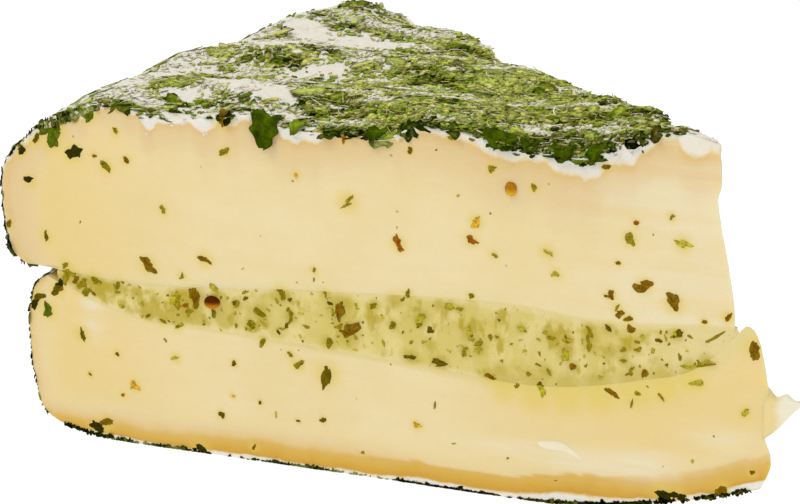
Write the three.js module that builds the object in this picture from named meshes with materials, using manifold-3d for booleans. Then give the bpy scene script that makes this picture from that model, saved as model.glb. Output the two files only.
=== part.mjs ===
// Wedge of herb brie: an eighth of a small wheel of soft-ripened cheese, split across its
// height, filled with herb cream and closed again, with herb flakes pressed into its rind.
// Millimetres, +Z up. The near cut face looks along -Y and the tip points along +X.
// The origin is on the floor under the middle of the wedge's box.

import * as THREE from 'three';
import { mergeVertices } from 'three/addons/utils/BufferGeometryUtils.js';
import Module from 'manifold-3d';

const wasm = await Module();
wasm.setup();

// Driving dimensions, in millimetres and degrees

const TIP_X = 49.3;             // the upper tip, where the distance along the near face is 0
const NEAR_Y = -39.7;           // the plane of the near cut face
const UPPER_ANGLE = 45;         // an eighth of the wheel
const FILLING_ANGLE = 44.3;
const LOWER_ANGLE = 43.5;
const TIP_BLUNT = 1.0;          // radius of the blunt edge where the two cut faces meet
const GAP = 0.3;                // clearance between the cream and the cheese on each side

const TIP_HEIGHT = 57;
const TOP_SLOPE = 0.045;        // the top falls this much for each millimetre towards the rind
const TOP_RIM = 96.6;           // where the top turns over into the round rind
const FAR_RIM = 7;              // the shoulder stands this much further out at the far cut
const BASE_LIFT = 4.4;          // the base rises towards the tip
const BASE_LIFT_FROM = 30;
const BASE_RIM_FROM = 90;       // the base turns up into the round rind
const BASE_RIM = 102.5;
const BASE_RIM_LIFT = 1.7;

const RIDGE_HEIGHT = 0.9;       // wrinkles in the top, nearly parallel to the near face
const RIDGE_SPACING = 22.5;
const RIDGE_CREST = 12;
const RIDGE_BEND = 0.6;         // radians, over the bend's length along the near face
const RIDGE_BEND_LENGTH = 17;
const LUMP_HEIGHT = 0.5;        // lumps between the wrinkles, where two slanting waves meet
const LUMP_WAVE = { along: 6.1, back: 9 };
const LUMP_CROSS_WAVE = { along: -11, back: 7.3 };
const EDGE_REACH = 8;           // how far back from a cut face the top's edge droops
const FAR_DROOP = 0.9;
const FACE_BULGE = 0.5;         // soft paste stands out in the middle of a cut face
const RIND_WAVE = 0.5;
const RIND_WAVE_TURNS = { across: 9, up: 2 };

const TOP_FLAKES = 66;
const UPPER_RIND_FLAKES = 18;
const LOWER_RIND_FLAKES = 18;
const FLAKE_LENGTH = [3.6, 7.0];
const FLAKE_WIDTH = 0.62;       // share of the length
const FLAKE_THICKNESS = 0.9;
const FLAKE_CURL = 0.5;
const GOLDEN_STEP = 0.618034;
const SEED = 20;

// Where flakes lie, as shares of a face: from tip to rind, from near to far, and up
const TOP_FIELD = { along: [0.08, 0.98], across: [0.08, 0.95] };
const UPPER_RIND_FIELD = { across: [0.06, 0.94], up: [0.3, 0.92] };
const LOWER_RIND_FIELD = { across: [0.06, 0.94], up: [0.25, 0.75] };

// Steps of each skin from tip to rind, from near to far, and up
const UPPER_STEPS = [34, 14, 8];
const FILLING_STEPS = [28, 10, 3];
const LOWER_STEPS = [30, 12, 7];

const HANGING_LEAF = { along: 66.8, height: 51, length: 6.4, width: 4.8, proud: 0.3 };
const TORN_FLAKE = { root: -6.5, height: 18, length: 7, width: 7.6, thickness: 1.5, rise: 0.3 };

// How far the near top edge droops: distance from the tip and drop, below zero where it is lifted
const NEAR_EDGE_DROP = [
  [-0.3, -1.3], [2, -1.9], [5, -2.2], [8.5, -1.9], [11, -0.6], [14, 0.5], [17, 2], [20, 2.7],
  [25, 2.4], [31, 1.5], [36, 0.1], [42, -0.6], [45, 0], [48, 1.6], [54, 1.6], [62, 1.4],
  [67, 0.7], [71, -0.5], [75, 0.1], [80, 0.8], [86, 0.5], [90, -0.5], [97, 0.3],
];

// Lumps and hollows of the top by its far edge and round rim: along, back, lift, reach
const TOP_LUMPS = [
  [78.5, 67.5, 2.5, 6.5],
  [88, 52, 2, 9],
  [97, 27, 1.1, 6],
  [97, 14, -0.9, 6],
  [92.5, 38, -0.8, 6],
  [69.5, 69.5, -1.2, 5],
  [49, 50, -0.8, 6],
  [42, 40, 0.8, 6],
  [31, 32, -1.3, 7],
  [20.5, 20.5, 2.3, 5],
  [13.5, 13.5, 1.5, 5],
  [8.3, 9, -1.4, 3.2],
];

// Section outlines in the near face, as distance from the tip and height

const UNDERSIDE = [[-3.5, 30.2], [16, 28.9], [29, 29.9], [60, 28.2], [90, 25.9], [103.5, 27]];
const DISH = [
  [-5, 31], [1.3, 24.2], [10, 21], [24, 18.2],
  [43, 18.8], [72, 20], [90, 20.7], [103.4, 25.2],
];
const UPPER_TIP = [[-3.5, 30.2], [-3.3, 34.7], [-2.1, 40.4], [-0.5, 48], [-0.9, 51], [-0.3, TIP_HEIGHT]];
const UPPER_RIND = [
  [103.5, 27], [106.5, 26.7], [108.6, 27.8], [110.1, 30.8],
  [110.7, 36.5], [109.9, 42], [107.1, 46], [102.6, 49.8],
];
const LOWER_TIP = [[-9.4, 11], [-8.4, 14.8], [-8.7, 21], [-7.6, 26.4], [-6.5, 29.4], [-5, 31]];
const LOWER_TIP_FOOT = -8;
const LOWER_RIND = [[104.6, 3.2], [105.5, 6], [106.3, 12], [106.7, 18], [105.8, 22], [103.4, 25.2]];
const CREAM_TIP = -3;
const CREAM_RIM = 101.5;

// Curves

const lerp = THREE.MathUtils.lerp;

// Height at a distance from the tip, smooth through the given points
function heightCurve(points) {
  const places = new Float32Array(points.map((point) => point[0]));
  const heights = new Float32Array(points.map((point) => point[1]));
  const interpolant = new THREE.CubicInterpolant(places, heights, 1);
  return (distance) => interpolant.evaluate(distance)[0];
}

// A smooth outline through the given points, run at even speed from 0 to 1
function outline(points) {
  const spline = new THREE.SplineCurve(points.map(([r, z]) => new THREE.Vector2(r, z)));
  return (t) => spline.getPointAt(t);
}

// An outline that runs evenly along the distance and takes its height from a function
function run(from, to, height) {
  return (t) => {
    const distance = lerp(from, to, t);
    return new THREE.Vector2(distance, height(distance));
  };
}

// An upright outline at one distance, between two heights
function upright(distance, from, to) {
  return (t) => new THREE.Vector2(distance, lerp(from, to, t));
}

const underside = heightCurve(UNDERSIDE);
const dish = heightCurve(DISH);
const nearEdgeDrop = heightCurve(NEAR_EDGE_DROP);
const topLine = (r) => TIP_HEIGHT - TOP_SLOPE * Math.max(r, 0);

function baseLine(r) {
  const lift = Math.max(1 - r / BASE_LIFT_FROM, 0);
  const rim = Math.max((r - BASE_RIM_FROM) / (BASE_RIM - BASE_RIM_FROM), 0);
  return BASE_LIFT * lift * lift + BASE_RIM_LIFT * rim * rim;
}

// Relief of the top: wrinkles and lumps, a near edge that droops in places, a lower far edge, and
// larger lumps at the far edge and the rim
function topRelief(s, d) {
  const bend = RIDGE_BEND * Math.sin(s / RIDGE_BEND_LENGTH);
  const ridge = Math.cos((2 * Math.PI * (d - RIDGE_CREST)) / RIDGE_SPACING + bend);
  const wave = Math.sin(s / LUMP_WAVE.along + d / LUMP_WAVE.back);
  const crossWave = Math.sin(s / LUMP_CROSS_WAVE.along + d / LUMP_CROSS_WAVE.back);
  const edge = Math.exp(-d / EDGE_REACH);
  const farEdge = Math.exp((d - s) / Math.SQRT2 / EDGE_REACH);
  let lumps = 0;
  for (const [along, back, lift, reach] of TOP_LUMPS) {
    lumps += lift * Math.exp(-((Math.hypot(s - along, d - back) / reach) ** 2));
  }
  const middle = (1 - edge) * (RIDGE_HEIGHT * ridge + LUMP_HEIGHT * wave * crossWave);
  return middle + lumps - edge * nearEdgeDrop(s) - farEdge * FAR_DROOP;
}

// Wedges

// Distance from the wheel's axis at which the split between the halves is measured
const SPLIT_APEX = DISH[0][0] - TIP_BLUNT;
const splitRadius = (s, d) => SPLIT_APEX + Math.hypot(s - SPLIT_APEX, d);

// A wedge is a section swung from the near cut to the far cut. The section is a patch between
// four outlines: a point inside is what the two pairs of opposite outlines give together, less
// what the corners give. Returns the point for u (tip to rind), v (near to far), w (up).
function wedge({ under, top, tip, rind, angle, farRim = 0, finish }) {
  const swing = THREE.MathUtils.degToRad(angle);
  return (u, v, w) => {
    const section = new THREE.Vector2()
      .addScaledVector(under(u), 1 - w)
      .addScaledVector(top(u), w)
      .addScaledVector(tip(w), 1 - u)
      .addScaledVector(rind(w), u)
      .addScaledVector(under(0), -(1 - u) * (1 - w))
      .addScaledVector(under(1), -u * (1 - w))
      .addScaledVector(top(0), -(1 - u) * w)
      .addScaledVector(top(1), -u * w);
    const apex = tip(w).x - TIP_BLUNT;
    const rounding = TIP_BLUNT * v * (1 - u) ** 8;
    const shoulder = farRim * v * u ** 4 * w ** 3;
    const reach = section.x - apex + rounding + shoulder;
    const s = apex + reach * Math.cos(v * swing);
    const d = reach * Math.sin(v * swing);
    const bulge = FACE_BULGE * Math.sin(Math.PI * w) * Math.sin(Math.PI * u) * (2 * v - 1);
    const turns = RIND_WAVE_TURNS.across * v + RIND_WAVE_TURNS.up * w;
    const wave = RIND_WAVE * u ** 6 * Math.sin(Math.PI * w) * Math.sin(turns);
    const z = finish(section.y, s, d, w);
    return new THREE.Vector3(TIP_X - s - wave, NEAR_Y + d + bulge, z);
  };
}

// The closed skin of a wedge, from a box whose grid is moved onto it
function skin(point, [along, across, up]) {
  const box = new THREE.BoxGeometry(1, 1, 1, along, across, up);
  const position = box.attributes.position;
  for (let i = 0; i < position.count; i++) {
    const { x, y, z } = point(0.5 - position.getX(i), position.getY(i) + 0.5, position.getZ(i) + 0.5);
    position.setXYZ(i, x, y, z);
  }
  return box;
}

const upperWedge = wedge({
  under: run(UNDERSIDE[0][0], UNDERSIDE.at(-1)[0], underside),
  top: run(UPPER_TIP.at(-1)[0], TOP_RIM, topLine),
  tip: outline(UPPER_TIP),
  rind: outline([...UPPER_RIND, [TOP_RIM, topLine(TOP_RIM)]]),
  angle: UPPER_ANGLE,
  farRim: FAR_RIM,
  finish: (z, s, d, w) => {
    const split = underside(splitRadius(s, d));
    return lerp(z, split, (1 - w) ** 8) + w ** 3 * topRelief(s, d);
  },
});

const creamUnder = (r) => dish(r) + GAP;
const creamTop = (r) => underside(r) - GAP;

const fillingWedge = wedge({
  under: run(CREAM_TIP, CREAM_RIM, creamUnder),
  top: run(CREAM_TIP, CREAM_RIM, creamTop),
  tip: upright(CREAM_TIP, creamUnder(CREAM_TIP), creamTop(CREAM_TIP)),
  rind: upright(CREAM_RIM, creamUnder(CREAM_RIM), creamTop(CREAM_RIM)),
  angle: FILLING_ANGLE,
  finish: (z, s, d, w) => {
    const r = splitRadius(s, d);
    return lerp(creamUnder(r), creamTop(r), w);
  },
});

const lowerWedge = wedge({
  under: run(LOWER_TIP_FOOT, BASE_RIM, baseLine),
  top: run(DISH[0][0], DISH.at(-1)[0], dish),
  tip: outline([[LOWER_TIP_FOOT, baseLine(LOWER_TIP_FOOT)], ...LOWER_TIP]),
  rind: outline([[BASE_RIM, BASE_RIM_LIFT], ...LOWER_RIND]),
  angle: LOWER_ANGLE,
  finish: (z, s, d, w) => lerp(z, dish(splitRadius(s, d)), w ** 8),
});

// Herb flakes

// Seeded random numbers from 0 to 1
function randomSource(seed) {
  let state = seed;
  return () => {
    state = (state + 0x6d2b79f5) | 0;
    let mixed = Math.imul(state ^ (state >>> 15), 1 | state);
    mixed = (mixed + Math.imul(mixed ^ (mixed >>> 7), 61 | mixed)) ^ mixed;
    return ((mixed ^ (mixed >>> 14)) >>> 0) / 4294967296;
  };
}

const random = randomSource(SEED);

// A flat six-sided leaf in the XY plane, as long as given along X and curling up at its ends
function flake(length, width, thickness, curl) {
  const leaf = new THREE.CylinderGeometry(1, 1, 1, 6, 1).rotateX(Math.PI / 2).rotateZ(Math.PI / 2);
  const position = leaf.attributes.position;
  for (let i = 0; i < position.count; i++) {
    const along = position.getX(i);
    const lift = curl * along * along;
    position.setX(i, (along * length) / 2);
    position.setY(i, (position.getY(i) * width) / 2);
    position.setZ(i, position.getZ(i) * thickness + lift);
  }
  return leaf;
}

// Turns a leaf to lie on a surface: its X runs along the heading and its Z along the normal
function lay(leaf, place, normal, heading) {
  const turn = new THREE.Quaternion().setFromUnitVectors(new THREE.Vector3(0, 0, 1), normal);
  return leaf.rotateZ(heading).applyQuaternion(turn).translate(place.x, place.y, place.z);
}

// The outward normal where two of the wedge's parameters run over its skin
function skinNormal(point, at, first, second, outward) {
  const step = 0.01;
  const start = point(...at);
  const along = point(...at.map((value, i) => value + step * first[i])).sub(start);
  const across = point(...at.map((value, i) => value + step * second[i])).sub(start);
  const normal = along.cross(across).normalize();
  return normal.dot(outward) < 0 ? normal.negate() : normal;
}

// Spreads leaves evenly over a face of a wedge: one parameter counts up along the face while
// the other steps by the golden ratio across it, and each leaf strays a little from its place
function scatter(point, count, place, first, second, outward) {
  const leaves = [];
  for (let i = 0; i < count; i++) {
    const at = place((i + random()) / count, (i * GOLDEN_STEP) % 1);
    const length = lerp(...FLAKE_LENGTH, random());
    const leaf = flake(length, length * FLAKE_WIDTH, FLAKE_THICKNESS, FLAKE_CURL * random());
    const normal = skinNormal(point, at, first, second, outward);
    leaves.push(lay(leaf, point(...at), normal, 2 * Math.PI * random()));
  }
  return leaves;
}

const UP = new THREE.Vector3(0, 0, 1);
const TOWARDS_RIND = new THREE.Vector3(-0.92, 0.38, 0);

const topFlakes = scatter(
  upperWedge, TOP_FLAKES,
  (a, b) => [lerp(...TOP_FIELD.along, Math.sqrt(a)), lerp(...TOP_FIELD.across, b), 1],
  [-1, 0, 0], [0, 1, 0], UP,
);
const upperRindFlakes = scatter(
  upperWedge, UPPER_RIND_FLAKES,
  (a, b) => [1, lerp(...UPPER_RIND_FIELD.across, a), lerp(...UPPER_RIND_FIELD.up, b)],
  [0, 1, 0], [0, 0, 1], TOWARDS_RIND,
);
const lowerRindFlakes = scatter(
  lowerWedge, LOWER_RIND_FLAKES,
  (a, b) => [1, lerp(...LOWER_RIND_FIELD.across, a), lerp(...LOWER_RIND_FIELD.up, b)],
  [0, 1, 0], [0, 0, 1], TOWARDS_RIND,
);

// The large leaf that hangs over the near top edge, lying on the near face
function hangingLeaf() {
  const { along, height, length, width, proud } = HANGING_LEAF;
  const place = new THREE.Vector3(TIP_X - along, NEAR_Y - proud, height);
  return lay(flake(length, width, FLAKE_THICKNESS, 0), place, new THREE.Vector3(0, -1, 0), Math.PI / 2);
}

// The torn flake of soft paste that the knife drew out at the lower tip: a flat cone, with its
// root inside the tip and its point outwards and a little up
function tornFlake() {
  const { root, height, length, width, thickness, rise } = TORN_FLAKE;
  return new THREE.ConeGeometry(width / 2, length, 6)
    .rotateZ(-Math.PI / 2)
    .translate(length / 2, 0, 0)
    .scale(1, thickness / width, 1)
    .rotateY(-rise)
    .translate(TIP_X - root, NEAR_Y + TIP_BLUNT / 2, height);
}

// Joining

function solid(geometry) {
  geometry.deleteAttribute('normal');
  geometry.deleteAttribute('uv');
  const merged = mergeVertices(geometry, 1e-4);
  return new wasm.Manifold(new wasm.Mesh({
    numProp: 3,
    vertProperties: new Float32Array(merged.attributes.position.array),
    triVerts: new Uint32Array(merged.index.array),
  }));
}

// One closed geometry of a body and the pieces fused to it
function fuse(body, pieces) {
  const joined = pieces.reduce((sum, piece) => sum.add(solid(piece)), solid(body));
  const mesh = joined.getMesh();
  const geometry = new THREE.BufferGeometry();
  geometry.setAttribute('position', new THREE.BufferAttribute(new Float32Array(mesh.vertProperties), 3));
  geometry.setIndex(new THREE.BufferAttribute(new Uint32Array(mesh.triVerts), 1));
  geometry.computeVertexNormals();
  return geometry;
}

// The wedge

const HERB_COATED_PASTE = new THREE.MeshStandardMaterial({ color: 0xecdba5, roughness: 0.5, metalness: 0 });
const HERB_CREAM = new THREE.MeshStandardMaterial({ color: 0xd2cc8a, roughness: 0.35, metalness: 0 });
const PALE_PASTE = new THREE.MeshStandardMaterial({ color: 0xeedfae, roughness: 0.5, metalness: 0 });

function piece(name, geometry, material) {
  const mesh = new THREE.Mesh(geometry, material);
  mesh.name = name;
  return mesh;
}

const herbBrie = new THREE.Group();
herbBrie.add(
  piece(
    'upper_half',
    fuse(skin(upperWedge, UPPER_STEPS), [...topFlakes, ...upperRindFlakes, hangingLeaf()]),
    HERB_COATED_PASTE,
  ),
  piece('herb_filling', fuse(skin(fillingWedge, FILLING_STEPS), []), HERB_CREAM),
  piece('lower_half', fuse(skin(lowerWedge, LOWER_STEPS), [...lowerRindFlakes, tornFlake()]), PALE_PASTE),
);

export default herbBrie;
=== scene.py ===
"""Looks of a wedge of herb brie: cream paste, a lens of herb cream, a white rind and its coat of herbs.

Lengths are millimetres until put_mesh() writes them in metres. A place in a wedge is u (0 at the tip, 1 at
the rind), v (0 at the near cut, 1 at the far cut) and w (0 underneath, 1 on top). In plan, "along" is the
distance from the upper tip along the near cut and "back" is the distance behind the near cut.
"""

import itertools
import math

import bpy
import numpy as np
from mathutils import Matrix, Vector
from mathutils.bvhtree import BVHTree


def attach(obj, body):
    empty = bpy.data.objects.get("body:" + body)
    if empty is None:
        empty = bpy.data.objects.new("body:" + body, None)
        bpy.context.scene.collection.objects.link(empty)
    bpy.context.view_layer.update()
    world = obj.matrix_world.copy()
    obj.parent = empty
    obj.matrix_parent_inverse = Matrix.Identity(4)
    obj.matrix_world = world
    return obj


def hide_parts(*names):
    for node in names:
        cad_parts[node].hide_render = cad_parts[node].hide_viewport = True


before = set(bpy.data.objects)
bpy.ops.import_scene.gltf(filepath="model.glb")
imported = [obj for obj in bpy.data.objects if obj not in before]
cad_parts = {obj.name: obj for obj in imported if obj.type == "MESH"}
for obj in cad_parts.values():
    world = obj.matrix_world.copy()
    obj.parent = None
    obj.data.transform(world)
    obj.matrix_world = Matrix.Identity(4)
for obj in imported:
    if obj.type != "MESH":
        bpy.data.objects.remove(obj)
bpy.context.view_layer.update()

# Sizes of the wedge, in millimetres and degrees

MM = 0.001
OFF_THE_TABLE = 0.03   # the lowest that a herb reaches
TIP_X = 49.3
NEAR_Y = -39.7
UPPER_ANGLE = 45.0
FILLING_ANGLE = 44.3
LOWER_ANGLE = 43.5
TIP_BLUNT = 1.0
CREAM_OVERLAP = 0.12

TIP_HEIGHT = 57.0
TOP_SLOPE = 0.045
TOP_RIM = 96.6
FAR_RIM = 7.0
BASE_LIFT = 4.4
BASE_LIFT_FROM = 30.0
BASE_RIM_FROM = 90.0
BASE_RIM = 102.5
BASE_RIM_LIFT = 1.7

RIDGE_HEIGHT = 0.9
RIDGE_SPACING = 22.5
RIDGE_CREST = 12.0
RIDGE_BEND = 0.6
RIDGE_BEND_LENGTH = 17.0
LUMP_HEIGHT = 0.5
LUMP_WAVE = (6.1, 9.0)
LUMP_CROSS_WAVE = (11.0, 7.3)
EDGE_REACH = 8.0
FAR_DROOP = 0.9
FACE_BULGE = 0.5
RIND_WAVE = 0.5
RIND_WAVE_TURNS = (9, 2)

NEAR_EDGE_DROP = [
    (-0.3, -1.3), (2, -1.9), (5, -2.2), (8.5, -1.9), (11, -0.6), (14, 0.5), (17, 2), (20, 2.7), (25, 2.4),
    (31, 1.5), (36, 0.1), (42, -0.6), (45, 0), (48, 1.6), (54, 1.6), (62, 1.4), (67, 0.7), (71, -0.5),
    (75, 0.1), (80, 0.8), (86, 0.5), (90, -0.5), (97, 0.3),
]
TOP_LUMPS = [
    (78.5, 67.5, 2.5, 6.5), (88, 52, 2, 9), (97, 27, 1.1, 6), (97, 14, -0.9, 6), (92.5, 38, -0.8, 6),
    (69.5, 69.5, -1.2, 5), (49, 50, -0.8, 6), (42, 40, 0.8, 6), (31, 32, -1.3, 7), (20.5, 20.5, 2.3, 5),
    (13.5, 13.5, 1.5, 5), (8.3, 9, -1.4, 3.2),
]

UNDERSIDE = [(-3.5, 30.2), (16, 28.9), (29, 29.9), (60, 28.2), (90, 25.9), (103.5, 27)]
DISH = [(-5, 31), (1.3, 24.2), (10, 21), (24, 18.2), (43, 18.8), (72, 20), (90, 20.7), (103.4, 25.2)]
UPPER_TIP = [(-3.5, 30.2), (-3.3, 34.7), (-2.1, 40.4), (-0.5, 48), (-0.9, 51), (-0.3, TIP_HEIGHT)]
UPPER_RIND = [
    (103.5, 27), (106.5, 26.7), (108.6, 27.8), (110.1, 30.8),
    (110.7, 36.5), (109.9, 42), (107.1, 46), (102.6, 49.8),
]
LOWER_TIP = [(-9.4, 11), (-8.4, 14.8), (-8.7, 21), (-7.6, 26.4), (-6.5, 29.4), (-5, 31)]
LOWER_TIP_FOOT = -8.0
LOWER_RIND = [(104.6, 3.2), (105.5, 6), (106.3, 12), (106.7, 18), (105.8, 22), (103.4, 25.2)]
CREAM_TIP = -4.0
CREAM_RIM = 101.5

# The photograph's frame and its camera

PHOTO_WIDTH = 800
PHOTO_HEIGHT = 504
FOCAL_PIXELS = 2998.0
SENSOR_WIDTH = 36.0
CAMERA_AZIMUTH = math.radians(20.82)
CAMERA_ELEVATION = math.radians(18.455)
CAMERA_DISTANCE = 431.26
CAMERA_AIM = np.array([3.05, NEAR_Y, 35.85])

# Colours, as they look in daylight, from 0 to 255

CREAM = (238, 217, 160)
CREAM_LIGHT = (243, 225, 178)
CREAM_WARM = (232, 204, 148)
TAN = (219, 174, 60)
TAN_DEEP = (211, 160, 42)
BLOOM = (240, 235, 222)
BLOOM_SHADE = (222, 214, 196)
CREAM_RIPE = (238, 211, 138)
RIPE_LINE = (230, 196, 130)
# pale paste of smears, also used as painted highlight on the cut
SMEAR_AND_HIGHLIGHT = (244, 233, 206)
LOOSE_PASTE = (246, 238, 212)
LOOSE_ROOT = (238, 214, 148)
CREAM_EDGE = (231, 212, 146)
STAIN = (231, 204, 86)
CREAM_GREEN = (216, 197, 102)
CREAM_GREEN_PALE = (232, 215, 140)
CREAM_GREEN_DEEP = (188, 166, 24)
CREAM_FLECK = (150, 142, 40)
LEAF_BRIGHT = (152, 168, 50)
LEAF = (116, 134, 30)
LEAF_DARK = (68, 85, 6)
LEAF_BLACK = (42, 48, 3)
LEAF_PALE = (198, 202, 116)
OLIVE = (136, 128, 40)
STRAW = (206, 194, 120)
YELLOW_GREEN = (186, 174, 50)
CUT_DARK = (104, 88, 10)
CUT_GREEN = (134, 122, 14)
CUT_OLIVE = (150, 132, 24)
CUT_LEAF = (88, 106, 18)
BROWN = (130, 92, 12)
HERB_BLACK = (52, 50, 10)
RUST = (160, 84, 12)
ORANGE = (226, 172, 50)
RIM_GOLD = (184, 160, 50)
TABLE = (120, 120, 120)
TABLE_GLOW = 0.9


def linear(colour):
    """Daylight colour from 0 to 255 as linear red, green, blue and alpha"""
    share = np.asarray(colour) / 255.0
    light = np.where(share <= 0.04045, share / 12.92, ((share + 0.055) / 1.055) ** 2.4)
    return (*light.tolist(), 1.0)


# Curves and noise

# Large odd numbers that turn a lattice point into a chance value
LATTICE_FACTORS = np.array([374761393, 668265263, 1440662683])
SEED_FACTOR = 362437
SHUFFLE_FACTOR = 1274126177


def mix(a, b, t):
    """a, going over to b in a straight line as t goes from 0 to 1"""
    return a + (b - a) * t


def smoothstep(low, high, x):
    """0 below low, 1 above high, and a smooth rise between them"""
    t = np.clip((x - low) / (high - low), 0.0, 1.0)
    return t * t * (3.0 - 2.0 * t)


def bell(x, centre, width):
    """1 at the centre, falling as the exponential of the squared distance"""
    return np.exp(-(((x - centre) / width) ** 2))


def noise(points, size, seed):
    """Smooth noise from -1 to 1: random values on a cubic lattice, blended between its eight corners"""
    scaled = np.asarray(points) / size
    cell = np.floor(scaled).astype(np.int64)
    t = scaled - cell
    t = t * t * (3.0 - 2.0 * t)
    total = np.zeros(scaled.shape[:-1])
    for corner in itertools.product((0, 1), repeat=3):
        key = cell + corner
        mixed = key @ LATTICE_FACTORS + seed * SEED_FACTOR
        mixed = ((mixed ^ (mixed >> 13)) & 0xFFFFFF) * SHUFFLE_FACTOR
        value = ((mixed ^ (mixed >> 16)) & 0xFFFF) / 32767.5 - 1.0
        total += value * np.prod(np.where(corner, t, 1.0 - t), axis=-1)
    return total


def height_curve(points):
    """Height at a distance: cubic pieces whose slope at a point is the mean of the slopes beside it"""
    places, heights = np.array(points, float).T
    slopes = np.diff(heights) / np.diff(places)
    tangents = np.concatenate([slopes[:1], (slopes[1:] + slopes[:-1]) / 2, slopes[-1:]])

    def height(distance):
        x = np.clip(distance, places[0], places[-1])
        i = np.clip(np.searchsorted(places, x) - 1, 0, len(slopes) - 1)
        gap = places[i + 1] - places[i]
        t = (x - places[i]) / gap
        start = (1 + 2 * t) * (1 - t) ** 2 * heights[i] + t * (1 - t) ** 2 * gap * tangents[i]
        end = t * t * (3 - 2 * t) * heights[i + 1] + t * t * (t - 1) * gap * tangents[i + 1]
        return start + end

    return height


def outline(points, samples=400):
    """A curve through the points, each piece steered by its neighbours, run at even speed from 0 to 1"""
    knots = np.array(points, float)
    padded = np.vstack([knots[:1], knots, knots[-1:]])
    place = np.linspace(0, len(knots) - 1, samples)
    i = np.minimum(place.astype(int), len(knots) - 2)
    t = (place - i)[:, None]
    before, start, end, after = (padded[i + k] for k in range(4))
    leave = (end - before) / 2
    arrive = (after - start) / 2
    curve = (2 * start - 2 * end + leave + arrive) * t**3
    curve += (-3 * start + 3 * end - 2 * leave - arrive) * t**2 + leave * t + start
    length = np.concatenate([[0], np.cumsum(np.linalg.norm(np.diff(curve, axis=0), axis=1))])
    length /= length[-1]

    def point(share):
        return np.stack([np.interp(share, length, column) for column in curve.T], axis=-1)

    return point


def run(start, end, height):
    """A curve that runs evenly along the distance and takes its height from a function"""

    def point(share):
        distance = mix(start, end, np.asarray(share, float))
        return np.stack([distance, height(distance)], axis=-1)

    return point


def upright(distance, low, high):
    """A straight curve at one distance, between two heights"""

    def point(share):
        share = np.asarray(share, float)
        return np.stack([np.full(share.shape, distance), mix(low, high, share)], axis=-1)

    return point


underside = height_curve(UNDERSIDE)
dish = height_curve(DISH)
near_edge_drop = height_curve(NEAR_EDGE_DROP)


def top_line(r):
    """Highest at the tip, with an even slope down to the rim"""
    return TIP_HEIGHT - TOP_SLOPE * np.maximum(r, 0.0)


def base_line(r):
    """Flat, but lifted as a square towards the tip and at the round rim"""
    lift = np.maximum(1 - r / BASE_LIFT_FROM, 0)
    rim = np.maximum((r - BASE_RIM_FROM) / (BASE_RIM - BASE_RIM_FROM), 0)
    return BASE_LIFT * lift**2 + BASE_RIM_LIFT * rim**2


def ridge_wave(along, back):
    """Wrinkles of the top: a cosine across the depth, bent by a slow sine along the near cut"""
    bend = RIDGE_BEND * np.sin(along / RIDGE_BEND_LENGTH)
    return np.cos(2 * math.pi * (back - RIDGE_CREST) / RIDGE_SPACING + bend)


def top_relief(along, back):
    """Wrinkles and lumps away from the near edge, which droops in places; a low far edge; larger
    lumps by the far edge and the rim"""
    wave = np.sin(along / LUMP_WAVE[0] + back / LUMP_WAVE[1])
    lump = wave * np.sin(back / LUMP_CROSS_WAVE[1] - along / LUMP_CROSS_WAVE[0])
    edge = np.exp(-np.maximum(back, 0) / EDGE_REACH)
    far_edge = np.exp(np.minimum(back - along, 0) / math.sqrt(2) / EDGE_REACH)
    lumps = sum(
        lift * bell(along, at_along, reach) * bell(back, at_back, reach)
        for at_along, at_back, lift, reach in TOP_LUMPS
    )
    middle = (1 - edge) * (RIDGE_HEIGHT * ridge_wave(along, back) + LUMP_HEIGHT * lump)
    return middle + lumps - edge * near_edge_drop(along) - far_edge * FAR_DROOP


# Wedges

SPLIT_APEX = DISH[0][0] - TIP_BLUNT


def split_radius(along, back):
    """The distance on the near cut that swings round the split's apex to a place in plan"""
    return SPLIT_APEX + np.hypot(along - SPLIT_APEX, back)


def place(along, back, height):
    """Along, back and height as a point of the frame"""
    return np.stack([TIP_X - along, NEAR_Y + back, height], axis=-1)


def wedge(under, top, tip, rind, angle, finish, detail, far_rim=0.0):
    """A section swung from the near cut to the far cut."""
    swing = math.radians(angle)
    corners = [under(0.0), under(1.0), top(0.0), top(1.0)]

    def surface(u, v, w):
        u, v, w = (np.asarray(value, float) for value in np.broadcast_arrays(u, v, w))
        low, high = (1 - w)[..., None], w[..., None]
        near_tip, near_rind = (1 - u)[..., None], u[..., None]
        section = under(u) * low + top(u) * high + tip(w) * near_tip + rind(w) * near_rind
        section -= corners[0] * near_tip * low + corners[1] * near_rind * low
        section -= corners[2] * near_tip * high + corners[3] * near_rind * high
        apex = tip(w)[..., 0] - TIP_BLUNT
        rounding = TIP_BLUNT * v * (1 - u) ** 8
        shoulder = far_rim * v * u**4 * w**3
        reach = section[..., 0] - apex + rounding + shoulder
        turn = v * swing
        along = apex + reach * np.cos(turn)
        back = reach * np.sin(turn)
        height = finish(section[..., 1], along, back, w)
        bulge = FACE_BULGE * np.sin(math.pi * w) * np.sin(math.pi * u) * (2 * v - 1)
        ripple = np.sin(RIND_WAVE_TURNS[0] * v + RIND_WAVE_TURNS[1] * w)
        wave = RIND_WAVE * u**6 * np.sin(math.pi * w) * ripple
        out_near, out_far, out_rind, up = detail(place(along, back, height), u, v, w)
        along = along + wave + out_rind * np.cos(turn) - out_far * math.sin(swing)
        back = back + bulge - out_near + out_far * math.cos(swing) + out_rind * np.sin(turn)
        return place(along, back, height + up)

    return surface


NEAR_SIDE = 60   # power that keeps a cut face's own relief to that face
SOFT_EDGE = 0.45
SOFT_REACH = 0.5
FACE_FADE = 2.5
RIND_LIP = 0.35
# Rough sizes of the halves, to turn shares into millimetres
UPPER_THICK = 26.0
LOWER_THICK = 20.0
FACE_LENGTH = 106.0
RIND_LENGTH = 80.0


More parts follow.
